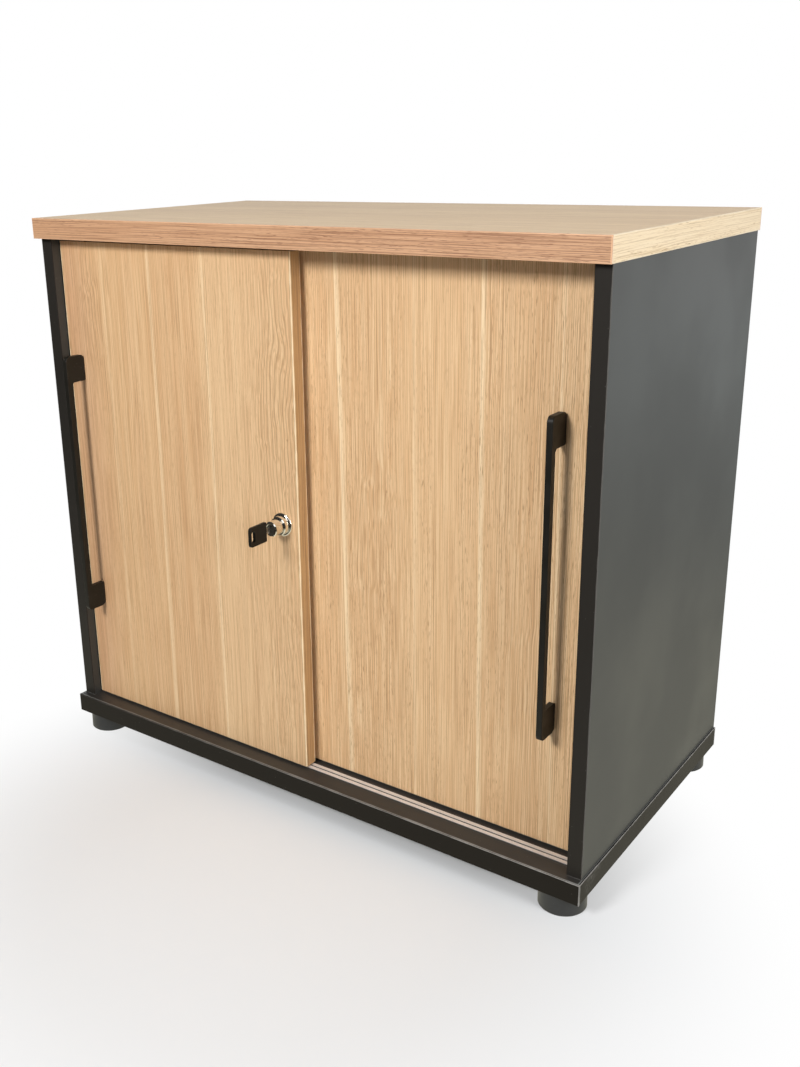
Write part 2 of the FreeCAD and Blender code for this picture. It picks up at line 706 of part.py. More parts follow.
# Cam bolt: thread in the board's face, shank, and a head inside the cam.
ROD_R = "( rod_d / 2 - fit )"
NECK_TOP = "( cam_end - rod_head )"
cam_bolt = turned(
    "cam_bolt",
    "Z",
    ("0", "0 - rod_grip"),
    (ROD_R, "0 - rod_grip"),
    (ROD_R, f"{NECK_TOP} - rod_neck"),
    ("rod_neck / 2", f"{NECK_TOP} - rod_neck"),
    ("rod_neck / 2", NECK_TOP),
    (ROD_R, NECK_TOP),
    (ROD_R, "cam_end"),
    ("0", "cam_end"),
)
DOWEL_LOW = "( dowel_short - dowel_half )"
DOWEL_TOP = "( dowel_in - dowel_short )"
dowel = turned(
    "dowel",
    "Z",
    ("0", DOWEL_LOW),
    ("dowel_d / 2 - dowel_bevel", DOWEL_LOW),
    ("dowel_d / 2", f"{DOWEL_LOW} + dowel_bevel"),
    ("dowel_d / 2", f"{DOWEL_TOP} - dowel_bevel"),
    ("dowel_d / 2 - dowel_bevel", DOWEL_TOP),
    ("0", DOWEL_TOP),
)
cam_places = []
bolt_places = []
dowel_places = []
for sign in ("0 -", "0 +"):
    for joint_z, turn in ((BASE_TOP, UPRIGHT), (TOP_LOW, OVER)):
        up = joint_z == BASE_TOP
        cam_z = f"{joint_z} {'+' if up else '-'} cam_end"
        facing = ALONG_X if sign == "0 -" else AGAINST_X
        slot_down = (up and facing is ALONG_X) or (not up and facing is AGAINST_X)
        spin = FreeCAD.Rotation(FreeCAD.Vector(0, 0, 1), 0 if slot_down else 180)
        for y in cams_y:
            cam_x = f"{sign} ( {SIDE_IN} + play + cam_deep )"
            cam_places.append((cam_x, y, cam_z, facing.multiply(spin)))
            bolt_places.append((f"{sign} {CAM_AT}", y, joint_z, turn))
        for y in dowels_y:
            dowel_places.append((f"{sign} {CAM_AT}", y, joint_z, turn))
node(copies("cam_housings", cam, cam_places))
node(copies("cam_bolts", cam_bolt, bolt_places))
node(copies("wood_dowels", dowel, dowel_places))

# ---------------------------------------------------------------- door bumpers
bumper = turned(
    "bumper",
    "Z",
    ("0", "0"),
    ("bumper_d / 2", "0"),
    ("bumper_d / 2 - bumper_thick / 2", "bumper_thick"),
    ("0", "bumper_thick"),
)
bumper_places = []
for bumper_z in ("bumper_end", "side_tall - bumper_end"):
    up_z = f"{BASE_TOP} + {bumper_z}"
    bumper_places.append((f"0 - {SIDE_IN}", FRONT_MID, up_z, ALONG_X))
    bumper_places.append((SIDE_IN, REAR_MID, up_z, AGAINST_X))
node(copies("door_bumpers", bumper, bumper_places))

# ---------------------------------------------------------------- levelling feet
feet = {}
for foot_side, foot_x in (("left", "pad_side - width / 2"), ("right", "width / 2 - pad_side")):
    feet[f"front_{foot_side}"] = (foot_x, f"{FRONT} + pad_front")
    feet[f"rear_{foot_side}"] = (foot_x, f"{BACK} - pad_front")

STEM_HOLE_R = "( stem_d / 2 + stem_play )"
insert = turned(
    "insert",
    "Z",
    (STEM_HOLE_R, "0"),
    ("insert_d / 2 - fit", "0"),
    ("insert_d / 2 - fit", "insert_tall"),
    (STEM_HOLE_R, "insert_tall"),
)
insert_places = [(x, y, "foot_rise", UPRIGHT) for x, y in feet.values()]
node(copies("foot_inserts", insert, insert_places))

PAD_TALL = "( foot_rise - pad_gap )"
STEM_FLOOR = "( stem_seat - pad_gap )"
HEXAGON = []
for corner in range(6):
    around = math.radians(60 * corner)
    HEXAGON.append((f"{math.cos(around):.6f} * socket_r", f"{math.sin(around):.6f} * socket_r"))
for foot_name, (foot_x, foot_y) in feet.items():
    # Pad: moulded drum with a chamfered lower edge and a bore for the swivelling stem.
    foot_pad = turned(
        f"{foot_name}_foot_pad",
        "Z",
        ("0", "0"),
        ("pad_d / 2 - pad_bevel", "0"),
        ("pad_d / 2", "pad_bevel"),
        ("pad_d / 2 - pad_taper", PAD_TALL),
        (STEM_HOLE_R, PAD_TALL),
        (STEM_HOLE_R, STEM_FLOOR),
        ("0", STEM_FLOOR),
    )
    place(foot_pad, foot_x, foot_y, "0")
    node(foot_pad)
    # Stem: threaded rod with a hexagon socket in its upper end.
    foot_stem = turned(
        f"{foot_name}_foot_stem",
        "Z",
        ("0", "0"),
        ("stem_d / 2", "0"),
        ("stem_d / 2", "stem_long - stem_bevel"),
        ("stem_d / 2 - stem_bevel", "stem_long"),
        ("0", "stem_long"),
    )
    socket = new_sketch(foot_stem, "XY_Plane", "stem_long")
    outline(socket, *HEXAGON)
    pocket(foot_stem, socket, "socket_deep")
    place(foot_stem, foot_x, foot_y, "stem_seat")
    node(foot_stem)

# ---------------------------------------------------------------- doors
def door(label, left, right, face, grip_from_left):
    """Door core: wheel carrier mortises below, guide holes above, handle screw holes."""
    wide = f"( {right} - {left} - 2 * banding )"
    body = board(label, "XZ_Plane", wide, DOOR_TALL, "door_thick")
    place(body, f"{left} + banding", face, DOOR_LOW)
    middle = "door_thick / 2"
    mortises = new_sketch(body, "XY_Plane")
    for x in ("carrier_inset - banding", f"( {wide} + banding - carrier_inset )"):
        long = "( carrier_long + carrier_play )"
        across = "( carrier_wide + carrier_play )"
        rectangle(mortises, f"{x} - {long} / 2", f"{middle} - {across} / 2", long, across)
    pocket(body, mortises, "carrier_tall + carrier_play", True)

    guides = new_sketch(body, "XY_Plane", DOOR_TALL)
    for x in ("guide_inset - banding", f"( {wide} + banding - guide_inset )"):
        circle(guides, x, middle, "guide_d")
    pocket(body, guides, "guide_hole")

    screws = new_sketch(body, "XZ_Plane")
    for sign in "-+":
        z = f"( {DOOR_TALL} / 2 - grip_drop {sign} grip_centres / 2 )"
        circle(screws, f"{grip_from_left} - banding", z, "screw_d + screw_play")
    pocket(body, screws, "door_thick")
    return node(body)


def door_bands(name, left, right, face):
    """Bands of the door's two upright edges, their outer arrises rounded."""
    strip = board(f"{name}_door_strip", "XY_Plane", "banding", "door_thick", DOOR_TALL)

    def outer_uprights(ends):
        return all(same(p.x, "0") for p in ends) and level(ends, "y")

    round_edges(strip, outer_uprights, "arris")
    places = (
        (left, face, DOOR_LOW, UPRIGHT),
        (right, f"{face} + door_thick", DOOR_LOW, HALF_TURN),
    )
    node(copies(f"{name}_door_edge_bands", strip, places))


def handle(label, x, face):
    """D handle: one profile, padded across, with soft corners."""
    body = new_body(label)
    sketch = new_sketch(body, "YZ_Plane", "0 - grip_wide / 2")
    upper_foot = "( grip_tall - grip_foot )"
    outline(
        sketch,
        ("0", "0"),
        ("grip_reach", "0"),
        ("grip_reach", "grip_foot"),
        ("grip_bar", "grip_foot"),
        ("grip_bar", upper_foot),
        ("grip_reach", upper_foot),
        ("grip_reach", "grip_tall"),
        ("0", "grip_tall"),
    )
    pad(body, sketch, "grip_wide")
    place(body, x, f"{face} - grip_reach", f"{GRIP_MID} - grip_tall / 2")
    doc.recompute()

    def corner(y, heights):
        def test(ends):
            flat = all(same(p.y, y) for p in ends)
            return flat and any(all(same(p.z, z) for p in ends) for z in heights)

        return test

    outside = ("0", "grip_tall")
    inside = ("grip_foot", upper_foot)
    round_edges(body, corner("0", outside), "grip_front_round")
    round_edges(body, corner("grip_reach", outside), "grip_rear_round")
    round_edges(body, corner("grip_bar", inside), "grip_inner_round")
    round_edges(body, corner("grip_reach", inside), "grip_root_round")

    def long_edges(ends):
        return level(ends, "x") and not any(same(p.y, "grip_reach") for p in ends)

    round_edges(body, long_edges, "grip_rim")
    holes = new_sketch(body, "XZ_Plane", "0 - grip_reach")
    for sign in "-+":
        circle(holes, "0", f"grip_tall / 2 {sign} grip_centres / 2", "screw_d")
    pocket(body, holes, "screw_in_grip + screw_d / 2", True)
    return node(body)


SCREW_R = "( screw_d / 2 - fit )"
SCREW_LONG = "( door_thick + screw_in_grip )"
handle_screw = turned(
    "handle_screw",
    "Y",
    ("0", "0"),
    (SCREW_R, "0"),
    (SCREW_R, SCREW_LONG),
    ("screw_head_d / 2", SCREW_LONG),
    ("screw_head_d / 2 - screw_head_tall / 4", f"{SCREW_LONG} + screw_head_tall"),
    ("0", f"{SCREW_LONG} + screw_head_tall"),
)

# Wheel carrier: a block with the wheel's slot, open below, and the axle's bore across it.
carrier = new_body("carrier")
carrier_sketch = new_sketch(carrier, "XY_Plane")
centred(carrier_sketch, "carrier_long", "carrier_wide")
pad(carrier, carrier_sketch, "carrier_tall")
round_edges(carrier, lambda ends: level(ends, "x") and level(ends, "y"), "carrier_round")
wheel_slot = new_sketch(carrier, "XY_Plane")
centred(wheel_slot, "( 2 * wheel_r + 2 * wheel_room )", "carrier_slot")
pocket(carrier, wheel_slot, f"{WHEEL_UP} + wheel_r + wheel_room", True)
axle_bore = new_sketch(carrier, "XZ_Plane", "carrier_wide / 2")
circle(axle_bore, "0", WHEEL_UP, "axle_d")
pocket(carrier, axle_bore, "carrier_wide")

axle = turned(
    "axle",
    "Y",
    ("0", "axle_short"),
    ("axle_d / 2", "axle_short"),
    ("axle_d / 2", "carrier_wide - axle_short"),
    ("0", "carrier_wide - axle_short"),
)

# Guide: a peg with a collar on the door's upper edge, and a nub in the top track.
NUB_TOP = "( door_drop + upper_tall - upper_web - nub_gap )"
guide = turned(
    "guide",
    "Z",
    ("0", "fit - guide_hole"),
    ("guide_d / 2 - fit", "fit - guide_hole"),
    ("guide_d / 2 - fit", "0"),
    ("guide_collar_d / 2", "0"),
    ("guide_collar_d / 2", "guide_collar"),
    ("nub_d / 2", "guide_collar"),
    ("nub_d / 2", f"{NUB_TOP} - nub_bevel"),
    ("nub_d / 2 - nub_bevel", NUB_TOP),
    ("0", NUB_TOP),
)

# Wheel: a tyre with rounded shoulders, a thinner web and a hub on the axle.
def wheel(label, x, middle):
    near_half = (
        ("axle_d / 2 + fit", "0"),
        ("hub_d / 2", "0"),
        ("hub_d / 2 + web_slope", "web_sink"),
        ("wheel_r - rim_thick - web_slope", "web_sink"),
        ("wheel_r - rim_thick", "0"),
        ("wheel_r - tyre_round", "0"),
        ("wheel_r", "tyre_round"),
    )
    far_half = [(radius, f"wheel_wide - {along}") for radius, along in reversed(near_half)]
    body = turned(label, "Y", *near_half, *far_half)
    place(body, x, f"{middle} - wheel_wide / 2", WHEEL_Z)
    node(body)


DOORS = (
    ("front", f"( 0 - {DOOR_END} )", "front_edge", FRONT_FACE),
    ("rear", "( 0 - rear_edge )", DOOR_END, REAR_FACE),
)
for door_name, door_left, door_right, door_face in DOORS:
    door_middle = f"( {door_face} + door_thick / 2 )"
    if door_name == "front":
        grip_at = "front_grip_inset"
    else:
        grip_at = f"( {door_right} - {door_left} - rear_grip_inset )"
    grip_x = f"{door_left} + {grip_at}"
    panel = door(f"{door_name}_door_panel", door_left, door_right, door_face, grip_at)
    door_bands(door_name, door_left, door_right, door_face)
    handle(f"{door_name}_handle", grip_x, door_face)
    screw_places = [
        (grip_x, f"{door_face} - screw_in_grip", f"{GRIP_MID} {sign} grip_centres / 2", UPRIGHT)
        for sign in "-+"
    ]
    node(copies(f"{door_name}_handle_screws", handle_screw, screw_places))
    wheels_x = (f"{door_left} + carrier_inset", f"{door_right} - carrier_inset")
    carrier_places = [(x, door_middle, DOOR_LOW, UPRIGHT) for x in wheels_x]
    node(copies(f"{door_name}_wheel_carriers", carrier, carrier_places))
    axle_places = [(x, f"{door_middle} - carrier_wide / 2", WHEEL_Z, UPRIGHT) for x in wheels_x]
    node(copies(f"{door_name}_wheel_axles", axle, axle_places))
    guides_x = (f"{door_left} + guide_inset", f"{door_right} - guide_inset")
    guide_places = [(x, door_middle, f"{DOOR_LOW} + {DOOR_TALL}", UPRIGHT) for x in guides_x]
    node(copies(f"{door_name}_top_guides", guide, guide_places))
    for wheel_side, wheel_x in zip(("left", "right"), wheels_x):
        wheel(f"{door_name}_{wheel_side}_wheel", wheel_x, door_middle)
    if door_name == "front":
        lock_hole = ("barrel_d + 2 * play", "door_thick")
    else:
        lock_hole = ("strike_stem_d + play", "strike_long + play")
    hole_sketch = new_sketch(panel, "XZ_Plane")
    circle(hole_sketch, f"{LOCK_X} - {door_left} - banding", f"{DOOR_TALL} / 2", lock_hole[0])
    pocket(panel, hole_sketch, lock_hole[1])

# ---------------------------------------------------------------- push lock
# Places along the lock's axis are counted from the front door's face, towards the back.
BORE_R = "( push_d / 2 + fit )"
PLUG_HOLE_R = "( plug_d / 2 + fit )"
BOLT_HOLE_R = "( bolt_d / 2 + lock_play )"
COLLAR_HOLE_R = "( collar_d / 2 + lock_play )"
BARREL_BACK = "( door_thick + barrel_out )"
BARREL_WALL = f"( {BARREL_BACK} - barrel_end )"


def lock_piece(label, *points):
    body = turned(label, "Y", *points)
    place(body, LOCK_X, FRONT_FACE, DOOR_MID)
    return node(body)


rosette = lock_piece(
    "lock_rosette",
    (COLLAR_HOLE_R, "0"),
    ("rosette_d / 2", "0"),
    ("rosette_d / 2", "0 - rosette_thick"),
    (COLLAR_HOLE_R, "0 - rosette_thick"),
)


def rosette_rim(ends):
    return same(ends[0].x, "rosette_d / 2") and same(ends[0].y, "0 - rosette_thick")


round_edges(rosette, rosette_rim, "rosette_round")
lock_piece(
    "lock_barrel",
    (BORE_R, "barrel_lip - collar_reach"),
    (f"{BORE_R} + barrel_lip", "0 - collar_reach"),
    ("collar_d / 2 - lock_bevel", "0 - collar_reach"),
    ("collar_d / 2", "lock_bevel - collar_reach"),
    ("collar_d / 2", "0"),
    ("barrel_d / 2", "0"),
    ("barrel_d / 2", BARREL_BACK),
    (BOLT_HOLE_R, BARREL_BACK),
    (BOLT_HOLE_R, BARREL_WALL),
    (BORE_R, BARREL_WALL),
)
nut = lock_piece(
    "lock_fixing_nut",
    ("barrel_d / 2 + fit", "door_thick"),
    ("nut_d / 2", "door_thick"),
    ("nut_d / 2", BARREL_BACK),
    ("barrel_d / 2 + fit", BARREL_BACK),
)
flats = new_sketch(nut, "XZ_Plane", less(BARREL_BACK))
for flat_x in ("0 - nut_d", "nut_flats / 2"):
    rectangle(flats, flat_x, "0 - nut_d / 2", "( nut_d - nut_flats / 2 )", "nut_d")
pocket(nut, flats, "barrel_out", True)

PLUG_BOTTOM = "( plug_sink - push_reach + plug_long )"
lock_piece(
    "lock_push_cylinder",
    (PLUG_HOLE_R, "barrel_lip - push_reach"),
    (f"{PLUG_HOLE_R} + barrel_lip", "0 - push_reach"),
    ("push_d / 2 - lock_bevel", "0 - push_reach"),
    ("push_d / 2", "lock_bevel - push_reach"),
    ("push_d / 2", "push_in"),
    ("0", "push_in"),
    ("0", f"{PLUG_BOTTOM} + lock_play"),
    (PLUG_HOLE_R, f"{PLUG_BOTTOM} + lock_play"),
)
lock_piece(
    "lock_bolt",
    ("0", "push_in"),
    ("bolt_d / 2", "push_in"),
    ("bolt_d / 2", "bolt_tip - lock_bevel"),
    ("bolt_d / 2 - lock_bevel", "bolt_tip"),
    ("0", "bolt_tip"),
)
STRIKE_R = "( bolt_d / 2 + strike_play )"
REAR_DOOR = "( door_thick + door_gap )"
STRIKE_FACE = f"( {REAR_DOOR} - strike_proud )"
lock_piece(
    "lock_strike_bush",
    (STRIKE_R, STRIKE_FACE),
    ("strike_d / 2 - lock_bevel", STRIKE_FACE),
    ("strike_d / 2", f"{STRIKE_FACE} + lock_bevel"),
    ("strike_d / 2", REAR_DOOR),
    ("strike_stem_d / 2", REAR_DOOR),
    ("strike_stem_d / 2", f"{REAR_DOOR} + strike_long"),
    (STRIKE_R, f"{REAR_DOOR} + strike_long"),
)

# Spring: a helix of round wire between the cylinder and the barrel's inner wall.
SPRING_TURNS = 4
wire_r = size("spring_wire / 2")
spring_r = size("( bolt_d + push_d ) / 4")
spring_from = size("push_in + spring_wire / 2 + lock_play")
spring_long = size(f"{BARREL_WALL} - push_in - spring_wire - 2 * lock_play")
spring_path = Part.makeHelix(spring_long / SPRING_TURNS, spring_long, spring_r)
wire_corners = []
for corner in range(6):
    around = math.radians(72 * corner)
    across = spring_r + wire_r * math.cos(around)
    wire_corners.append(FreeCAD.Vector(across, 0, wire_r * math.sin(around)))
wire_section = Part.Wire(Part.makePolygon(wire_corners))
spring = doc.addObject("Part::Feature", "lock_spring")
spring.Label = "lock_spring"
spring.Shape = Part.Wire(spring_path).makePipeShell([wire_section], True, True)
spring.Placement = FreeCAD.Placement(
    FreeCAD.Vector(size(LOCK_X), size(FRONT_FACE) + spring_from, size(DOOR_MID)),
    FreeCAD.Rotation(FreeCAD.Vector(1, 0, 0), -90),
)
node(spring)

# Plug: turned, with a keyway cut from its face.
PLUG_FACE = "( plug_sink - push_reach )"
plug = lock_piece(
    "lock_plug",
    ("0", PLUG_FACE),
    ("plug_d / 2", PLUG_FACE),
    ("plug_d / 2", PLUG_BOTTOM),
    ("0", PLUG_BOTTOM),
)
keyway = new_sketch(plug, "XZ_Plane", less(PLUG_FACE))
centred(keyway, "( blade_thick + 2 * play )", "( blade_tall + 2 * play )")
pocket(plug, keyway, "blade_in + lock_bevel")

# Key blade: a flat with notches along its lower edge; its end is inside the head.
HEAD_BACK = "( key_long - door_setback - key_reach )"
BLADE_ROOT = f"( {HEAD_BACK} - blade_seat )"
BLADE_END = f"( {PLUG_FACE} + blade_in )"
BLADE_LOW = "( 0 - blade_tall / 2 )"
NOTCH_DEPTHS = (1.5, 2.4, 1.2, 2.0)
key_blade = new_body("key_blade")
blade_sketch = new_sketch(key_blade, "YZ_Plane", "0 - blade_thick / 2")
notches = []
for number, notch_deep in enumerate(NOTCH_DEPTHS):
    valley = f"{PLUG_FACE} + notch_first + {number} * notch_step"
    notches.append((f"{valley} - notch_half", BLADE_LOW))
    notches.append((valley, f"{BLADE_LOW} + {notch_deep}"))
    notches.append((f"{valley} + notch_half", BLADE_LOW))
outline(
    blade_sketch,
    (BLADE_ROOT, BLADE_LOW),
    *notches,
    (f"{BLADE_END} - blade_point", BLADE_LOW),
    (BLADE_END, "0"),
    (f"{BLADE_END} - blade_point", "blade_tall / 2"),
    (BLADE_ROOT, "blade_tall / 2"),
)
pad(key_blade, blade_sketch, "blade_thick")
place(key_blade, LOCK_X, FRONT_FACE, DOOR_MID)
node(key_blade)

# Key head: a moulded grip with round outer corners, a ring slot and a seat for the blade.
key_head = new_body("key_head")
head_sketch = new_sketch(key_head, "YZ_Plane", "0 - key_thick / 2")
rectangle(head_sketch, f"{HEAD_BACK} - key_long", "0 - key_tall / 2", "key_long", "key_tall")
pad(key_head, head_sketch, "key_thick")
place(key_head, LOCK_X, FRONT_FACE, DOOR_MID)
doc.recompute()
HEAD_FRONT = f"( {HEAD_BACK} - key_long )"


def head_corner(y):
    return lambda ends: all(same(p.y, y) for p in ends) and level(ends, "z")


round_edges(key_head, head_corner(HEAD_FRONT), "key_round")
round_edges(key_head, head_corner(HEAD_BACK), "key_back_round")
round_edges(key_head, lambda ends: level(ends, "x"), "key_rim")
ring_slot = new_sketch(key_head, "YZ_Plane", "key_thick / 2")
rectangle(ring_slot, f"{HEAD_FRONT} + ring_inset", "0 - ring_tall / 2", "ring_wide", "ring_tall")
pocket(key_head, ring_slot, "key_thick")


def ring_corner(ends):
    along_x = level(ends, "y") and level(ends, "z")
    return along_x and all(same(abs(p.z), "ring_tall / 2") for p in ends)


round_edges(key_head, ring_corner, "ring_round")
seat = new_sketch(key_head, "XZ_Plane", less(HEAD_BACK))
centred(seat, "blade_thick", "blade_tall")
pocket(key_head, seat, "blade_seat", True)
node(key_head)

# ---------------------------------------------------------------- checks and files
doc.recompute()
for thing in doc.Objects:
    if "Invalid" in thing.State or "Error" in thing.State:
        raise RuntimeError(f"{thing.Label}: {thing.State}")
for piece in nodes:
    shape = piece.Shape
    if shape.isNull() or not shape.isValid() or not shape.Solids:
        raise RuntimeError(f"{piece.Label}: no valid solid")

os.makedirs("parts", exist_ok=True)
for piece in nodes:
    piece.Shape.exportStep(f"parts/{piece.Label}.step")
    print(f"{piece.Label}: {len(piece.Shape.Solids)} solid(s), {piece.Shape.Volume / 1000:.2f} cm3")
print(f"{len(nodes)} nodes")
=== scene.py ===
import math

import bmesh
import bpy
from mathutils import Matrix, Vector


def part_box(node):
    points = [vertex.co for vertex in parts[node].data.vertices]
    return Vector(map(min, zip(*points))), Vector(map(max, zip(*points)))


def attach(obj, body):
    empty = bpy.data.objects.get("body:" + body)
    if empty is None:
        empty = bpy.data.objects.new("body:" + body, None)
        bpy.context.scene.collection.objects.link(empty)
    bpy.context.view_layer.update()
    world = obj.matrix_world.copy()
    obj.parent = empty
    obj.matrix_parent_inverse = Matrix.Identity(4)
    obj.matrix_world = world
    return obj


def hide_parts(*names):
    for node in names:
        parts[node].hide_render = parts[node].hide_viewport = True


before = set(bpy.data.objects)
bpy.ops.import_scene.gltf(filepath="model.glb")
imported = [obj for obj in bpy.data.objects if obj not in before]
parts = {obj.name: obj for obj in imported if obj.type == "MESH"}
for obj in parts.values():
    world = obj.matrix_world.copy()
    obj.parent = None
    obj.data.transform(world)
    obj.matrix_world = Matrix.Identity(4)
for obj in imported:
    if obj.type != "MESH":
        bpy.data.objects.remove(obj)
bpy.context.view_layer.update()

mm = 0.001
print("credenza: loaded", len(parts), "packed parts")

scene = bpy.context.scene
scene.view_settings.view_transform = "Standard"

# camera
cameraView = {
    "place": (0.8258, -1.1755, 0.8187),  # metres
    "looks": (-0.5766, 0.7569, -0.3076),
    "roll": -1.41,  # degrees
    "lens": 38.41,
    "sensor": 36.0,
    "shift": (0.0639, -0.0219),
}
cameraData = bpy.data.cameras.new("viewCamera")
cameraData.lens = cameraView["lens"]
cameraData.sensor_width = cameraView["sensor"]
cameraData.shift_x, cameraData.shift_y = cameraView["shift"]
camera = bpy.data.objects.new("viewCamera", cameraData)
aim = Vector(cameraView["looks"]).to_track_quat("-Z", "Y").to_matrix().to_4x4()
aim = aim @ Matrix.Rotation(math.radians(cameraView["roll"]), 4, "Z")
camera.matrix_world = Matrix.Translation(cameraView["place"]) @ aim
scene.collection.objects.link(camera)
scene.camera = camera
print("credenza: camera placed")


# shader tree helpers
def put(tree, kind, feeds=None, **settings):  # adds a node; feeds gives its sockets values or links
    node = tree.nodes.new(kind)
    for name, value in settings.items():
        setattr(node, name, value)
    for label, value in (feeds or {}).items():
        socket = node.inputs[label]
        if isinstance(value, bpy.types.NodeSocket):
            tree.links.new(value, socket)
        elif socket.type == "RGBA":
            socket.default_value = (*value[:3], 1.0)
        else:
            socket.default_value = value
    return node


def calc(tree, operation, *values):
    return put(tree, "ShaderNodeMath", dict(enumerate(values)), operation=operation).outputs[0]


def calcVector(tree, operation, *values):
    return put(tree, "ShaderNodeVectorMath", dict(enumerate(values)), operation=operation).outputs[0]


def measure(tree, operation, *values):  # a vector operation that gives one number
    node = put(tree, "ShaderNodeVectorMath", dict(enumerate(values)), operation=operation)
    return node.outputs["Value"]


def axesOf(tree, vector):
    return put(tree, "ShaderNodeSeparateXYZ", {0: vector}).outputs


def useGroup(tree, group, feeds):
    return put(tree, "ShaderNodeGroup", feeds, node_tree=group).outputs


def fade(tree, value, low, high, start=0.0, end=1.0):  # smooth step from start to end
    feeds = {"Value": value, "From Min": low, "From Max": high, "To Min": start, "To Max": end}
    return put(tree, "ShaderNodeMapRange", feeds, interpolation_type="SMOOTHSTEP").outputs[0]


def tint(tree, factor, first, second, mode="MIX"):
    feeds = {0: factor, 6: first, 7: second}
    return put(tree, "ShaderNodeMix", feeds, data_type="RGBA", blend_type=mode).outputs[2]


def cells(tree, vector, size, detail=0.0, seed=0.0):  # noise with cells of that size in metres
    spread = tuple(1 / s for s in size)
    offset = (seed, seed * 0.7, seed * 1.3)  # each seed takes another stretch of the noise
    scaled = calcVector(tree, "MULTIPLY_ADD", vector, spread, offset)
    feeds = {"Vector": scaled, "Scale": 1.0, "Detail": detail}
    return put(tree, "ShaderNodeTexNoise", feeds).outputs[0]


def startGroup(name, inputs, outputs):
    kinds = {"vector": "NodeSocketVector", "colour": "NodeSocketColor", "value": "NodeSocketFloat"}
    tree = bpy.data.node_groups.new(name, "ShaderNodeTree")
    for label, kind in inputs.items():
        tree.interface.new_socket(name=label, in_out="INPUT", socket_type=kinds[kind])
    for label, kind in outputs.items():
        tree.interface.new_socket(name=label, in_out="OUTPUT", socket_type=kinds[kind])
    return tree, tree.nodes.new("NodeGroupInput").outputs, tree.nodes.new("NodeGroupOutput").inputs


def startMaterial(name, finish):
    material = bpy.data.materials.new(name)
    material.use_nodes = True
    tree = material.node_tree
    shader = tree.nodes["Principled BSDF"]
    shader.inputs["Roughness"].default_value = finish["roughness"]
    shader.inputs["Metallic"].default_value = finish.get("metallic", 0.0)
    shader.inputs["Specular IOR Level"].default_value = finish.get("gloss", 0.5)
    place = put(tree, "ShaderNodeTexCoord").outputs["Object"]
    return material, tree, shader, place


def bump(tree, shader, height, depth):
    node = put(tree, "ShaderNodeBump", {"Height": height, "Distance": depth, "Strength": 1.0})
    tree.links.new(node.outputs[0], shader.inputs["Normal"])


# oak grain, running along x; cells and lengths in metres, edges are levels of the noise
grainShape = {
    "sway": 0.0016,  # how far the grain wanders sideways
    "swayCell": (0.55, 0.16, 0.16),
    "ripple": 0.00025,
    "rippleCell": (0.07, 0.03, 0.03),
    "swirlRipple": 8.0,  # how much more the lines bend in a swirl
    "zone": (7.0, 0.042, 0.042),
    "zoneEdge": (0.3, 0.7),
    "fineZone": (1.6, 0.009, 0.009),
    "fineZoneEdge": (0.42, 0.75),
    "fineZoneShow": 0.14,
    "fibre": (0.14, 0.00065, 0.00065),
    "fibreDarkEdge": (0.52, 0.70),
    "fibrePaleEdge": (0.52, 0.32),
    "fibrePaleShow": 0.8,
    "strongArea": (0.5, 0.03, 0.03),  # areas where the fibres show at their full strength
    "strongEdge": (0.3, 0.65),
    "weakest": 0.75,
    "pinstripe": 0.0024,  # from one to the next
    "pinstripeShow": 0.07,
    "pinstripeCell": (0.2, 0.02, 0.02),
    "pinstripeSway": 16.0,  # radians
    "ring": 0.0056,
    "ringEdge": (0.3, 1.0),  # of a sine wave
    "ringShow": 0.50,
    "ringCell": (0.16, 0.05, 0.05),
    "ringSway": 20.0,  # radians
    "pore": (0.012, 0.0006, 0.0006),
    "poreEdge": (0.58, 0.74),
    "poreArea": (0.4, 0.02, 0.02),
    "poreAreaEdge": (0.35, 0.6),
    "poreFewest": 0.3,
    "fibreAsPore": 0.4,  # how deep and rough a dark fibre is, as a share of a pore
}


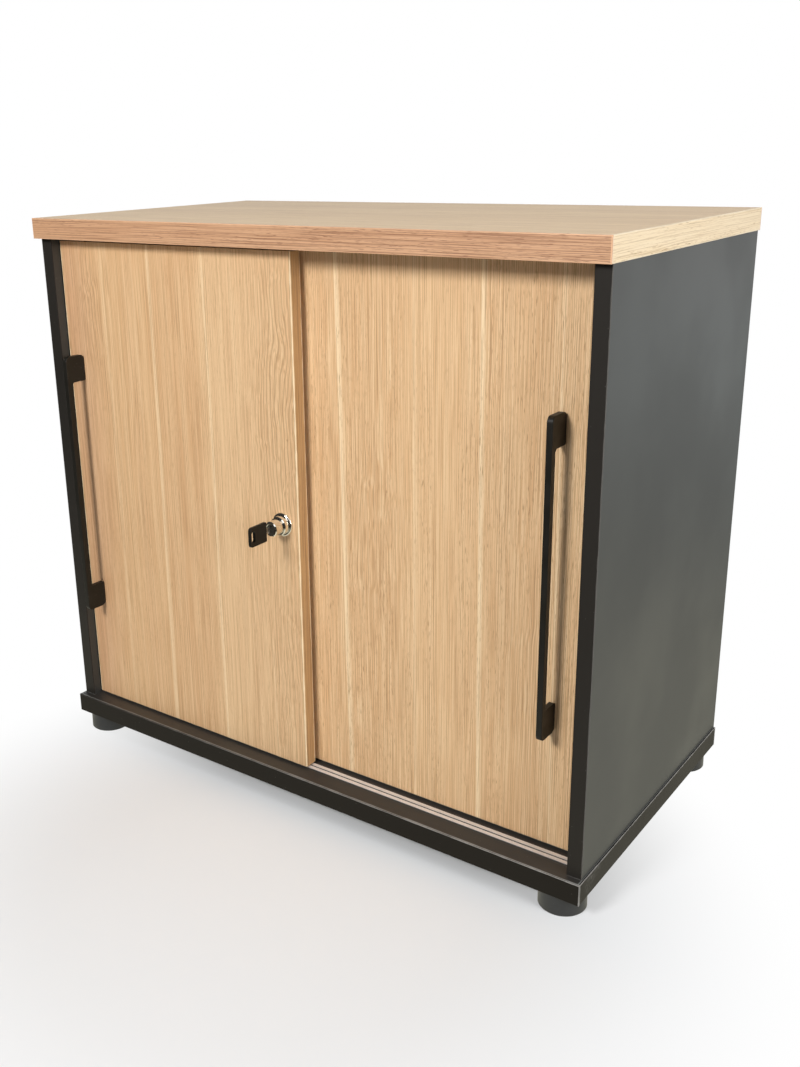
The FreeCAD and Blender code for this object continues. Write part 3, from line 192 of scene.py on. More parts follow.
def oakGrainGroup():
    inputs = {"Vector": "vector", **dict.fromkeys(("Light", "Warm", "Pale", "Pore"), "colour")}
    inputs.update(dict.fromkeys(("Streak", "Swirl", "Fibres", "Pores"), "value"))
    tree, given, result = startGroup("oakGrain", inputs, {"Colour": "colour", "Dark": "value"})
    size = grainShape
    vector = given["Vector"]
    swayNoise = cells(tree, vector, size["swayCell"], 1.0, seed=3.1)
    rippleNoise = cells(tree, vector, size["rippleCell"], 1.0, seed=7.7)
    sway = calc(tree, "MULTIPLY", calc(tree, "SUBTRACT", swayNoise, 0.5), 4 * size["sway"])
    loose = calc(tree, "MULTIPLY_ADD", given["Swirl"], size["swirlRipple"], 1.0)
    ripple = calc(tree, "MULTIPLY", calc(tree, "SUBTRACT", rippleNoise, 0.5), 4 * size["ripple"])
    across = calc(tree, "MULTIPLY_ADD", ripple, loose, sway)
    aside = put(tree, "ShaderNodeCombineXYZ", {"X": 0.0, "Y": across, "Z": across}).outputs[0]
    swayed = calcVector(tree, "ADD", vector, aside)
    # broad and narrow zones of tone, longer than the board
    zone = fade(tree, cells(tree, swayed, size["zone"], 1.0, seed=1.3), *size["zoneEdge"])
    colour = tint(tree, zone, given["Light"], given["Warm"])
    fineZone = cells(tree, swayed, size["fineZone"], 1.0, seed=11.9)
    fineZone = fade(tree, fineZone, *size["fineZoneEdge"], 0.0, size["fineZoneShow"])
    colour = tint(tree, fineZone, colour, given["Pale"])
    colour = tint(tree, given["Streak"], colour, given["Pale"])
    # fine straight fibres, gathered by faint pinstripes
    fibreNoise = cells(tree, swayed, size["fibre"], seed=5.0)
    axes = axesOf(tree, swayed)
    depth = calc(tree, "ADD", axes["Y"], axes["Z"])
    stripeSway = cells(tree, swayed, size["pinstripeCell"], seed=29.0)
    stripes = calc(tree, "MULTIPLY", depth, 2 * math.pi / size["pinstripe"])
    stripes = calc(tree, "MULTIPLY_ADD", stripeSway, size["pinstripeSway"], stripes)
    stripes = calc(tree, "SINE", stripes)
    fibreNoise = calc(tree, "MULTIPLY_ADD", stripes, size["pinstripeShow"], fibreNoise)
    strong = cells(tree, swayed, size["strongArea"], seed=41.0)
    strong = fade(tree, strong, *size["strongEdge"], size["weakest"], 1.0)
    strength = calc(tree, "MULTIPLY", strong, given["Fibres"])
    fibreDark = fade(tree, fibreNoise, *size["fibreDarkEdge"])
    fibreDark = calc(tree, "MULTIPLY", fibreDark, strength)
    fibrePale = fade(tree, fibreNoise, *size["fibrePaleEdge"], 0.0, size["fibrePaleShow"])
    fibrePale = calc(tree, "MULTIPLY", fibrePale, strength)
    colour = tint(tree, fibrePale, colour, given["Pale"])
    colour = tint(tree, fibreDark, colour, given["Pore"])
    # growth rings, wavy and only in a swirl
    ringSway = cells(tree, vector, size["ringCell"], seed=13.0)
    turns = calc(tree, "MULTIPLY", depth, 2 * math.pi / size["ring"])
    turns = calc(tree, "MULTIPLY_ADD", ringSway, size["ringSway"], turns)
    ring = fade(tree, calc(tree, "SINE", turns), *size["ringEdge"])
    ring = calc(tree, "MULTIPLY", ring, given["Swirl"])
    ring = calc(tree, "MULTIPLY", ring, size["ringShow"])
    colour = tint(tree, ring, colour, given["Pore"])
    # open pores: short dark dashes
    poreNoise = cells(tree, swayed, size["pore"], 1.0, seed=2.0)
    poreArea = cells(tree, swayed, size["poreArea"], 1.0, seed=53.0)
    poreArea = fade(tree, poreArea, *size["poreAreaEdge"], size["poreFewest"], 1.0)
    pore = calc(tree, "MULTIPLY", fade(tree, poreNoise, *size["poreEdge"]), poreArea)
    pore = calc(tree, "MULTIPLY", pore, given["Pores"])
    colour = tint(tree, pore, colour, given["Pore"])
    dark = calc(tree, "MAXIMUM", pore, calc(tree, "MULTIPLY", fibreDark, size["fibreAsPore"]))
    tree.links.new(colour, result["Colour"])
    tree.links.new(dark, result["Dark"])
    return tree


# one pale streak along the grain, sharp on one side and fading on the other
streakShape = {"wander": 0.006, "wanderCell": (0.3, 0.5, 0.5), "ends": (1.0, 0.6)}


def paleStreakGroup():
    labels = ("At", "Lean", "Sharp", "Soft", "Middle", "Reach")
    inputs = {"Vector": "vector", **dict.fromkeys(labels, "value")}
    tree, given, result = startGroup("paleStreak", inputs, {"Mask": "value"})
    axes = axesOf(tree, given["Vector"])
    wander = cells(tree, given["Vector"], streakShape["wanderCell"], 1.0, seed=19.0)
    wander = calc(tree, "SUBTRACT", wander, 0.5)
    line = calc(tree, "MULTIPLY_ADD", axes["X"], given["Lean"], given["At"])
    line = calc(tree, "MULTIPLY_ADD", wander, streakShape["wander"], line)
    past = calc(tree, "SUBTRACT", axes["Y"], line)
    before = calc(tree, "MULTIPLY", given["Sharp"], -1.0)
    sharpSide = fade(tree, past, before, 0.0)
    softSide = fade(tree, past, given["Soft"], 0.0)
    streak = calc(tree, "MULTIPLY", sharpSide, softSide)
    along = calc(tree, "ABSOLUTE", calc(tree, "SUBTRACT", axes["X"], given["Middle"]))
    reached = fade(tree, calc(tree, "DIVIDE", along, given["Reach"]), *streakShape["ends"])
    tree.links.new(calc(tree, "MULTIPLY", streak, reached), result["Mask"])
    return tree


# a soft oval patch round one place; 1 is its rim
patchRim = (1.0, 0.4)


def softPatchGroup():
    inputs = {"Vector": "vector", "Centre": "vector", "Size": "vector"}
    tree, given, result = startGroup("softPatch", inputs, {"Mask": "value"})
    away = calcVector(tree, "SUBTRACT", given["Vector"], given["Centre"])
    scaled = calcVector(tree, "DIVIDE", away, given["Size"])
    tree.links.new(fade(tree, measure(tree, "LENGTH", scaled), *patchRim), result["Mask"])
    return tree


# a painted highlight along the outer corners of a box, in place of the light that rounded edges catch
edgeHighlightShape = {
    "cell": (0.02, 0.02, 0.02),
    "cellEdge": (0.25, 0.75),
    "uneven": (0.6, 1.15),  # least and greatest width, as shares of the width given
    "fade": (1.0, 0.35),
}


def edgeHighlightGroup():
    inputs = {"Vector": "vector", "Low": "vector", "High": "vector", "Width": "value"}
    tree, given, result = startGroup("edgeHighlight", inputs, {"Mask": "value"})
    vector = given["Vector"]
    fromLow = calcVector(tree, "ABSOLUTE", calcVector(tree, "SUBTRACT", vector, given["Low"]))
    fromHigh = calcVector(tree, "ABSOLUTE", calcVector(tree, "SUBTRACT", given["High"], vector))
    gap = axesOf(tree, calcVector(tree, "MINIMUM", fromLow, fromHigh))
    smaller = calc(tree, "MINIMUM", gap[0], gap[1])
    larger = calc(tree, "MAXIMUM", gap[0], gap[1])
    middle = calc(tree, "MAXIMUM", smaller, calc(tree, "MINIMUM", larger, gap[2]))
    uneven = cells(tree, vector, edgeHighlightShape["cell"], 2.0, seed=4.0)
    uneven = fade(tree, uneven, *edgeHighlightShape["cellEdge"], *edgeHighlightShape["uneven"])
    width = calc(tree, "MULTIPLY", given["Width"], uneven)
    share = calc(tree, "DIVIDE", middle, width)
    tree.links.new(fade(tree, share, *edgeHighlightShape["fade"]), result["Mask"])
    return tree


# skin of laminates, coatings and mouldings: fine peel, clouded tone and a little dust
skinShape = {
    "cloudEdge": (0.3, 0.7),
    "dustScale": 240.0,  # places for a speck in a metre
    "dustSpeck": (0.16, 0.05),
    "dustFew": (0.9, 0.93),  # a speck shows where the place's random value is above this
}


def fineSkinGroup():
    inputs = {"Vector": "vector", "Peel": "value", "Cloud": "value"}
    outputs = dict.fromkeys(("Height", "Cloud", "Dust"), "value")
    tree, given, result = startGroup("fineSkin", inputs, outputs)
    feeds = {"Vector": given["Vector"], "Scale": given["Peel"], "Detail": 2.0}
    height = put(tree, "ShaderNodeTexNoise", feeds).outputs[0]
    feeds = {"Vector": given["Vector"], "Scale": given["Cloud"], "Detail": 3.0}
    cloud = put(tree, "ShaderNodeTexNoise", feeds).outputs[0]
    feeds = {"Vector": given["Vector"], "Scale": skinShape["dustScale"]}
    speck = put(tree, "ShaderNodeTexVoronoi", feeds).outputs
    near = fade(tree, speck["Distance"], *skinShape["dustSpeck"])
    few = fade(tree, axesOf(tree, speck["Color"])[0], *skinShape["dustFew"])
    tree.links.new(height, result["Height"])
    tree.links.new(fade(tree, cloud, *skinShape["cloudEdge"]), result["Cloud"])
    tree.links.new(calc(tree, "MULTIPLY", near, few), result["Dust"])
    return tree


# drawn or turned metal: fine lines along x
lineEdge = (0.3, 0.7)  # levels of the noise


def drawnLinesGroup():
    inputs = {"Vector": "vector", "Length": "value", "Width": "value"}
    tree, given, result = startGroup("drawnLines", inputs, {"Line": "value"})
    along = calc(tree, "DIVIDE", 1.0, given["Length"])
    across = calc(tree, "DIVIDE", 1.0, given["Width"])
    spread = put(tree, "ShaderNodeCombineXYZ", {"X": along, "Y": across, "Z": across}).outputs[0]
    scaled = calcVector(tree, "MULTIPLY", given["Vector"], spread)
    feeds = {"Vector": scaled, "Scale": 1.0, "Detail": 3.0}
    line = put(tree, "ShaderNodeTexNoise", feeds).outputs[0]
    tree.links.new(fade(tree, line, *lineEdge), result["Line"])
    return tree


# short scrapes round one place
scrapeShape = {
    "rim": (1.0, 0.2),
    "turn": 0.5,  # radians, so that the strokes lie aslant
    "stroke": (0.01, 0.0012, 0.011),
    "strokeEdge": (0.55, 0.68),
}


def scrapesGroup():
    inputs = {"Vector": "vector", "Centre": "vector", "Reach": "value"}
    tree, given, result = startGroup("scrapes", inputs, {"Mask": "value"})
    away = calcVector(tree, "SUBTRACT", given["Vector"], given["Centre"])
    share = calc(tree, "DIVIDE", measure(tree, "LENGTH", away), given["Reach"])
    near = fade(tree, share, *scrapeShape["rim"])
    feeds = {"Vector": away, "Angle": scrapeShape["turn"]}
    turned = put(tree, "ShaderNodeVectorRotate", feeds, rotation_type="X_AXIS").outputs[0]
    strokes = cells(tree, turned, scrapeShape["stroke"], 2.0, seed=9.0)
    strokes = fade(tree, strokes, *scrapeShape["strokeEdge"])
    tree.links.new(calc(tree, "MULTIPLY", near, strokes), result["Mask"])
    return tree


oakGrain = oakGrainGroup()
paleStreak = paleStreakGroup()
softPatch = softPatchGroup()
edgeHighlight = edgeHighlightGroup()
fineSkin = fineSkinGroup()
drawnLines = drawnLinesGroup()
scrapes = scrapesGroup()
print("credenza: shared node groups built")

axisOrder = {"X": (0, 1, 2), "Y": (1, 0, 2), "Z": (2, 0, 1)}  # the grain's direction comes first
noShift = (0.0, 0.0, 0.0)


def alongGrain(tree, place, direction, shift=noShift):  # turns the board's own direction to x
    moved = put(tree, "ShaderNodeMapping", {"Vector": place, "Location": shift}).outputs[0]
    axes = axesOf(tree, moved)
    feeds = {label: axes[i] for label, i in zip("XYZ", axisOrder[direction])}
    return put(tree, "ShaderNodeCombineXYZ", feeds).outputs[0]


# mask of the painted highlight along a box's outer corners
def cornerHighlight(tree, place, box, width):
    feeds = {"Vector": place, "Low": tuple(box[0]), "High": tuple(box[1]), "Width": width}
    return useGroup(tree, edgeHighlight, feeds)["Mask"]


def strongest(tree, masks):
    result = 0.0
    for mask in masks:
        result = calc(tree, "MAXIMUM", result, mask)
    return result


# what a streak is unless it says otherwise
usualStreak = {"middle": 0.4, "reach": 2.0, "lean": 0.0, "sharp": 0.0015, "soft": 0.005}


def streakMask(tree, board, streaks):
    masks = []
    for streak in streaks:
        shape = dict(usualStreak, **streak)
        show = shape.pop("show")
        feeds = {label.capitalize(): value for label, value in shape.items()}
        mask = useGroup(tree, paleStreak, {"Vector": board, **feeds})["Mask"]
        masks.append(calc(tree, "MULTIPLY", mask, show))
    return strongest(tree, masks)


def patchMask(tree, board, patches):
    masks = []
    for patch in patches:
        feeds = {"Vector": board, "Centre": patch["centre"], "Size": patch["size"]}
        mask = useGroup(tree, softPatch, feeds)["Mask"]
        masks.append(calc(tree, "MULTIPLY", mask, patch["show"]))
    return strongest(tree, masks)


def oakFinish(name, finish, direction, shift, box):
    material, tree, shader, place = startMaterial(name, finish)
    board = alongGrain(tree, place, direction)
    grown = alongGrain(tree, place, direction, shift)
    feeds = {
        "Vector": calcVector(tree, "MULTIPLY", grown, (finish["fineness"],) * 3),
        "Streak": streakMask(tree, board, finish.get("streaks", [])),
        "Swirl": patchMask(tree, board, finish.get("swirls", [])),
    }
    for label in ("light", "warm", "pale", "pore", "fibres", "pores"):
        feeds[label.capitalize()] = finish[label]
    wood = useGroup(tree, oakGrain, feeds)
    colour = wood["Colour"]
    if "blushes" in finish:
        blush = patchMask(tree, board, finish["blushes"])
        colour = tint(tree, blush, colour, finish["blush"], "MULTIPLY")
    if "knots" in finish:
        colour = tint(tree, patchMask(tree, board, finish["knots"]), colour, finish["pore"])
    # painted highlight along the board's outer corners, in place of light caught by its rounded edges
    line = cornerHighlight(tree, place, box, finish["highlightWidth"])
    line = calc(tree, "MULTIPLY", line, finish["highlightShow"])
    colour = tint(tree, line, colour, finish["edge"])
    tree.links.new(colour, shader.inputs["Base Color"])
    smooth, rough = finish["roughness"], finish["roughness"] + finish["poreRough"]
    rough = fade(tree, wood["Dark"], 0.0, 1.0, smooth, rough)
    tree.links.new(rough, shader.inputs["Roughness"])
    bump(tree, shader, calc(tree, "SUBTRACT", 1.0, wood["Dark"]), finish["relief"])
    return material


dustColour = (0.5, 0.48, 0.45)  # the specks on boards and mouldings


def plainFinish(name, finish, box=None):  # laminates, coatings, mouldings
    material, tree, shader, place = startMaterial(name, finish)
    feeds = {"Vector": place, "Peel": finish["peel"], "Cloud": finish["cloud"]}
    skin = useGroup(tree, fineSkin, feeds)
    colour = tint(tree, skin["Cloud"], finish["colour"], finish["second"])
    dust = calc(tree, "MULTIPLY", skin["Dust"], finish["dust"])
    colour = tint(tree, dust, colour, dustColour)
    # painted highlight along the outer corners, in place of light caught by the rounded edges; it can
    # fade along x as the light falls
    if box is not None:
        below = Vector((0.0, 0.0, finish.get("highlightLow", 0.0)))  # no painted highlight along the lower edge
        line = cornerHighlight(tree, place, (box[0] - below, box[1]), finish["highlightWidth"])
        if "highlightFade" in finish:
            highlightFalloff = fade(tree, axesOf(tree, place)["X"], *finish["highlightFade"])
            line = calc(tree, "MULTIPLY", line, highlightFalloff)
        line = calc(tree, "MULTIPLY", line, finish["highlightShow"])
        colour = tint(tree, line, colour, finish["edge"])
    # real scrapes, in the same pale colour as the painted highlight
    for spot in finish.get("scrapes", []):
        feeds = {"Vector": place, "Centre": spot["centre"], "Reach": spot["reach"]}
        mark = useGroup(tree, scrapes, feeds)["Mask"]
        colour = tint(tree, calc(tree, "MULTIPLY", mark, spot["show"]), colour, finish["edge"])
    tree.links.new(colour, shader.inputs["Base Color"])
    rough = fade(tree, skin["Cloud"], 0.0, 1.0, finish["roughness"], finish["smudged"])
    tree.links.new(rough, shader.inputs["Roughness"])
    bump(tree, shader, skin["Height"], finish["relief"])
    return material


lineDark = (0.1, 0.1, 0.1)  # what the drawn lines are mixed with


def metalFinish(name, finish, direction="X", top=None):
    material, tree, shader, place = startMaterial(name, finish)
    feeds = {
        "Vector": alongGrain(tree, place, direction),
        "Length": finish["lineLength"],
        "Width": finish["lineWidth"],
    }
    line = useGroup(tree, drawnLines, feeds)["Line"]
    feeds = {"Vector": place, "Peel": finish["peel"], "Cloud": finish["cloud"]}
    skin = useGroup(tree, fineSkin, feeds)
    colour = tint(tree, skin["Cloud"], finish["colour"], finish["second"])
    colour = tint(tree, calc(tree, "MULTIPLY", line, finish["lineShow"]), colour, lineDark)
    if top is not None:  # painted shade in the grooves: darker below the upper faces
        height = axesOf(tree, place)["Z"]
        low, high = top - finish["grooveShadeFrom"], top - finish["grooveShadeTo"]
        grooveShade = fade(tree, height, low, high, 0.0, finish["grooveShadeShow"])
        colour = tint(tree, grooveShade, colour, finish["grooveShade"])
    tree.links.new(colour, shader.inputs["Base Color"])
    rough = calc(tree, "MULTIPLY_ADD", skin["Cloud"], finish["smudge"], finish["roughness"])
    rough = calc(tree, "MULTIPLY_ADD", line, finish["lineRough"], rough)
    tree.links.new(rough, shader.inputs["Roughness"])
    bump(tree, shader, line, finish["relief"])
    return material


def dress(material, *names):
    for name in names:
        slots = parts[name].data.materials
        if len(slots):
            slots[0] = material
        else:
            slots.append(material)


# oak-effect boards; places on them are (along the grain, across it, depth)
doorOak = {
    "light": (0.700, 0.434, 0.219),
    "warm": (0.655, 0.386, 0.191),
    "pale": (0.890, 0.665, 0.400),
    "pore": (0.380, 0.205, 0.090),
    "fineness": 1.0,
    "fibres": 0.50,
    "pores": 0.5,
    "roughness": 0.48,
    "poreRough": 0.2,  # added in the pores
    "relief": 0.00005,
    # colour, width and strength of the painted highlight along the rounded edges
    "edge": (0.92, 0.74, 0.48),
    "highlightWidth": 0.0024,
    "highlightShow": 0.9,
}
frontDoorOak = dict(
    doorOak,
    blush=(0.90, 0.83, 0.86),
    blushes=[{"centre": (0.40, -0.400, -0.16), "size": (0.80, 0.11, 1.0), "show": 0.8}],
    streaks=[
        {"at": -0.1250, "show": 0.95, "sharp": -0.0020, "soft": -0.006},
        {"at": -0.1200, "show": 0.30, "sharp": 0.03, "soft": 0.30},
        {"at": -0.2240, "lean": 0.008, "show": 0.75, "sharp": 0.0018, "soft": 0.008},
        {"at": -0.3040, "show": 0.35, "soft": 0.007},
        {"at": -0.2480, "show": 0.30, "middle": 0.60, "reach": 0.22},
        {"at": -0.0400, "show": 0.60, "middle": 0.10, "reach": 0.16, "soft": 0.007},
    ],
    swirls=[
        {"centre": (0.53, -0.014, -0.16), "size": (0.28, 0.055, 1.0), "show": 1.0},
        {"centre": (0.19, -0.016, -0.16), "size": (0.24, 0.038, 1.0), "show": 0.7},
        {"centre": (0.61, -0.330, -0.16), "size": (0.12, 0.026, 1.0), "show": 0.8},
        {"centre": (0.28, -0.060, -0.16), "size": (0.12, 0.020, 1.0), "show": 0.5},
    ],
    knots=[{"centre": (0.485, -0.004, -0.1695), "size": (0.0022, 0.0016, 0.02), "show": 0.6}],
)
rearDoorOak = dict(
    doorOak,
    light=(0.745, 0.478, 0.250),
    warm=(0.705, 0.433, 0.218),
    pale=(0.93, 0.72, 0.45),
    pore=(0.415, 0.230, 0.105),
    fibres=0.60,
    pores=1.0,
    streaks=[
        {"at": 0.0610, "lean": -0.011, "show": 0.95, "sharp": 0.0018, "soft": 0.008},
        {"at": 0.2450, "lean": -0.006, "show": 0.90, "sharp": 0.0025, "soft": 0.007},
        {"at": 0.1570, "show": 0.40, "soft": 0.005},
        {"at": 0.1120, "show": 0.20, "soft": 0.006},
        {"at": 0.3380, "lean": -0.008, "show": 0.60, "soft": 0.003},
    ],
    swirls=[
        {"centre": (0.37, 0.105, -0.14), "size": (0.16, 0.060, 1.0), "show": 0.55},
        {"centre": (0.27, 0.300, -0.14), "size": (0.13, 0.030, 1.0), "show": 0.45},
    ],
    knots=[{"centre": (0.436, 0.120, -0.145), "size": (0.0025, 0.0016, 0.02), "show": 0.5}],
)
doorBandOak = dict(
    doorOak,
    light=(0.545, 0.328, 0.146),
    warm=(0.490, 0.280, 0.120),
    pale=(0.58, 0.37, 0.185),
    pore=(0.27, 0.145, 0.062),
    fibres=0.8,
)
topOak = dict(
    doorOak,
    light=(0.730, 0.512, 0.258),
    warm=(0.660, 0.440, 0.212),
    fibres=0.6,
    pores=0.4,
    roughness=0.42,
    # painted highlight along the top's rounded edges
    edge=(0.80, 0.58, 0.40),
    highlightWidth=0.0016,
    highlightShow=0.5,
)
topBandOak = dict(
    doorOak,
    light=(0.60, 0.345, 0.192),
    warm=(0.545, 0.296, 0.160),
    pale=(0.69, 0.42, 0.25),
    pore=(0.28, 0.13, 0.065),
    fibres=0.75,
    pores=1.3,
    fineness=1.05,
    # painted highlight along the band's rounded edges
    edge=(0.82, 0.49, 0.29),
    highlightWidth=0.0016,
    highlightShow=0.6,
)
# the end bands: the top band's oak painted paler, in place of the light from the right side
paintedLitEndBandOak = dict(
    topBandOak,
    light=(0.90, 0.73, 0.49),
    warm=(0.86, 0.67, 0.43),
    pale=(0.92, 0.77, 0.56),
    pore=(0.52, 0.35, 0.18),
    fibres=0.6,
    pores=1.1,
    # painted highlight along the end bands' rounded edges
    edge=(0.95, 0.84, 0.66),
    highlightShow=0.5,
)
boardShift = {  # where each board is cut from the grain, metres
    "front_door": (0.0, 0.0, 0.0),
    "rear_door": (0.37, 0.0, 1.7),
    "top_panel": (0.4, 0.2, 0.6),
    "top_bands": (1.3, 0.5, 0.1),
    "top_end_bands": (0.2, 1.1, 0.9),
    "wood_dowels": (0.1, 0.1, 0.1),
}
# the door's painted edge highlight runs only up its upright edges
beyondEnds = Vector((0.0, 0.0, 0.1))  # a door's edge line doesn't run across its ends


def dressOak():
    shift = boardShift
    for name, finish in (("front_door", frontDoorOak), ("rear_door", rearDoorOak)):
        panel, bands = f"{name}_panel", f"{name}_edge_bands"
        low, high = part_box(bands)
        upright = (low - beyondEnds, high + beyondEnds)
        dress(oakFinish(f"{name}Oak", finish, "Z", shift[name], upright), panel)
        dress(oakFinish(f"{name}BandOak", doorBandOak, "Z", shift[name], upright), bands)
    top = oakFinish("topOak", topOak, "X", shift["top_panel"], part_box("top_panel"))
    dress(top, "top_panel")
    for name in ("top_front_band", "top_back_band"):
        band = oakFinish(f"{name}Oak", topBandOak, "X", shift["top_bands"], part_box(name))
        dress(band, name)
    name = "top_end_bands"
    dress(oakFinish("endBandPaintedLitOak", paintedLitEndBandOak, "Y", shift[name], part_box(name)), name)


dressOak()
print("credenza: oak boards dressed")

# dark boards
graphiteBoard = {
    "colour": (0.036, 0.037, 0.035),
    "second": (0.033, 0.034, 0.032),
    "roughness": 0.42,
    "smudged": 0.50,
    "gloss": 0.5,
    "peel": 1500.0,
    "cloud": 5.0,
    "relief": 0.00002,
    "dust": 0.12,
    # colour, width and strength of the painted highlight along the rounded edges, also on the shelf
    "edge": (0.30, 0.31, 0.30),
    "highlightWidth": 0.0014,
    "highlightShow": 0.7,
}
graphiteBand = dict(
    graphiteBoard,
    colour=(0.023, 0.020, 0.017),
    second=(0.020, 0.0175, 0.0145),
    roughness=0.45,
    gloss=0.15,
    # painted highlight along the side bands' rounded front edges
    edge=(0.13, 0.125, 0.115),
)
baseBoard = dict(
    graphiteBoard,
    colour=(0.030, 0.027, 0.024),
    second=(0.025, 0.023, 0.021),
    roughness=0.36,
)
baseBand = dict(
    baseBoard,
    colour=(0.012, 0.0095, 0.0075),
    second=(0.014, 0.0115, 0.0090),
    roughness=0.45,
    gloss=0.12,
    # painted highlight along the top edges only, fading from the right corner to the left as the light
    # falls; the same pale colour marks the real scrapes
    edge=(0.36, 0.345, 0.325),
    highlightWidth=0.0012,
    highlightShow=0.8,
    highlightLow=0.1,
    highlightFade=(-0.40, 0.36, 0.12, 1.0),  # from x, to x, and how strong it is at each
    scrapes=[
        {"centre": (0.4, -0.165, 0.045), "reach": 0.022, "show": 0.5},
        {"centre": (0.4, -0.147, 0.048), "reach": 0.014, "show": 0.4},
    ],
)
innerBoard = dict(graphiteBoard, colour=(0.050, 0.050, 0.048), second=(0.043, 0.043, 0.041))


def dressDarkBoards():
    for name in ("left_side_panel", "right_side_panel"):
        dress(plainFinish(f"{name}Graphite", graphiteBoard), name)
    name = "side_front_bands"
    dress(plainFinish("sideBandGraphite", graphiteBand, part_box(name)), name)
    dress(plainFinish("baseBoardDark", baseBoard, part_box("base_panel")), "base_panel")
    for name in ("base_front_band", "base_back_band", "base_end_bands"):
        dress(plainFinish(f"{name}Dark", baseBand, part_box(name)), name)
    dress(plainFinish("backBoardDark", innerBoard), "back_panel")
    dress(plainFinish("shelfDark", innerBoard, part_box("shelf")), "shelf")
    name = "shelf_front_band"
    dress(plainFinish("shelfBandDark", graphiteBand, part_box(name)), name)


dressDarkBoards()
print("credenza: dark boards dressed")

# coatings and mouldings
handleCoat = {
    "colour": (0.0100, 0.0088, 0.0064),
    "second": (0.0120, 0.0106, 0.0082),
    "roughness": 0.38,
    "smudged": 0.46,
    "gloss": 0.25,
    "peel": 1400.0,
    "cloud": 40.0,
    "relief": 0.00004,
    "dust": 0.2,
}
keyMoulding = dict(
    handleCoat,
    colour=(0.0085, 0.0070, 0.0052),
    second=(0.0105, 0.0088, 0.0068),
    gloss=0.18,
)
footMoulding = dict(
    handleCoat,
    colour=(0.024, 0.025, 0.029),
    second=(0.020, 0.021, 0.024),
    roughness=0.4,
    smudged=0.48,
    gloss=0.5,
)
carrierMoulding = dict(handleCoat, colour=(0.020, 0.020, 0.020), second=(0.026, 0.026, 0.026))
wheelMoulding = dict(
    handleCoat,
    colour=(0.62, 0.61, 0.58),
    second=(0.55, 0.54, 0.51),
    roughness=0.4,
)
dowelBeech = dict(
    doorOak,
    light=(0.62, 0.44, 0.27),
    warm=(0.58, 0.39, 0.23),
    pale=(0.70, 0.52, 0.34),
    highlightShow=0.0,
)


def endingIn(text):
    return [name for name in parts if name.endswith(text)]


def dressMouldings():
    for name in ("front_handle", "rear_handle"):
        dress(plainFinish(f"{name}Coat", handleCoat), name)
    dress(plainFinish("keyHeadMoulding", keyMoulding), "key_head")
    dress(plainFinish("footMoulding", footMoulding), *endingIn("foot_pad"))
    carriers = [name for name in parts if "carrier" in name or "guide" in name]
    dress(plainFinish("carrierMoulding", carrierMoulding), *carriers)
    dress(plainFinish("wheelNylon", wheelMoulding), *endingIn("_wheel"))
    name = "wood_dowels"
    dress(oakFinish("dowelBeech", dowelBeech, "Z", boardShift[name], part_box(name)), name)


bumperJelly = {
    "colour": (0.80, 0.82, 0.80),
    "second": (0.72, 0.74, 0.72),
    "roughness": 0.18,
    "clear": 0.8,
    "peel": 700.0,
    "cloud": 120.0,
    "relief": 0.00003,
}


def dressBumpers():
    look = bumperJelly
    material, tree, shader, place = startMaterial("bumperJelly", look)
    shader.inputs["Transmission Weight"].default_value = look["clear"]
    feeds = {"Vector": place, "Peel": look["peel"], "Cloud": look["cloud"]}
    skin = useGroup(tree, fineSkin, feeds)
    colour = tint(tree, skin["Cloud"], look["colour"], look["second"])
    tree.links.new(colour, shader.inputs["Base Color"])
    bump(tree, shader, skin["Height"], look["relief"])
    dress(material, "door_bumpers")


dressMouldings()
dressBumpers()
print("credenza: coatings and mouldings dressed")

# metals
lockChrome = {
    "colour": (0.84, 0.80, 0.73),
    "second": (0.78, 0.74, 0.67),
    "metallic": 1.0,
    "roughness": 0.035,
    "smudge": 0.04,
    "peel": 900.0,
    "cloud": 60.0,
    "lineShow": 0.0,
    "lineLength": 0.004,
    "lineWidth": 0.0006,
    "lineRough": 0.02,
    "relief": 0.000002,
}
nickelSteel = dict(
    lockChrome,
    colour=(0.62, 0.60, 0.56),
    second=(0.55, 0.53, 0.50),
    roughness=0.22,
    relief=0.00001,
)
zincSteel = dict(
    nickelSteel,
    colour=(0.55, 0.56, 0.57),
    second=(0.48, 0.50, 0.52),
    roughness=0.3,
)
plugSteel = dict(
    nickelSteel,
    colour=(0.34, 0.32, 0.29),
    second=(0.26, 0.245, 0.22),
    roughness=0.24,
)
castZinc = dict(zincSteel, colour=(0.42, 0.42, 0.43), roughness=0.45)
brass = dict(zincSteel, colour=(0.72, 0.53, 0.26), second=(0.64, 0.46, 0.22))
trackAluminium = dict(  # anodised, so more matt than bright metal
    zincSteel,
    colour=(0.86, 0.80, 0.76),
    second=(0.80, 0.74, 0.70),
    metallic=0.4,
    roughness=0.50,
    lineLength=0.12,
    lineShow=0.12,
    lineRough=0.12,
    relief=0.00002,
    # painted shade in the track's grooves, below its upper faces
    grooveShade=(0.05, 0.045, 0.04),
    grooveShadeFrom=0.0003,
    grooveShadeTo=0.0009,
    grooveShadeShow=0.9,
)
# top tracks near-black, as a dark track can be, and dark enough to stand in for the shade in the gap
# above the doors: partly painted shade
paintedShadeTopAluminium = dict(trackAluminium, colour=(0.045, 0.040, 0.035), second=(0.040, 0.036, 0.032))


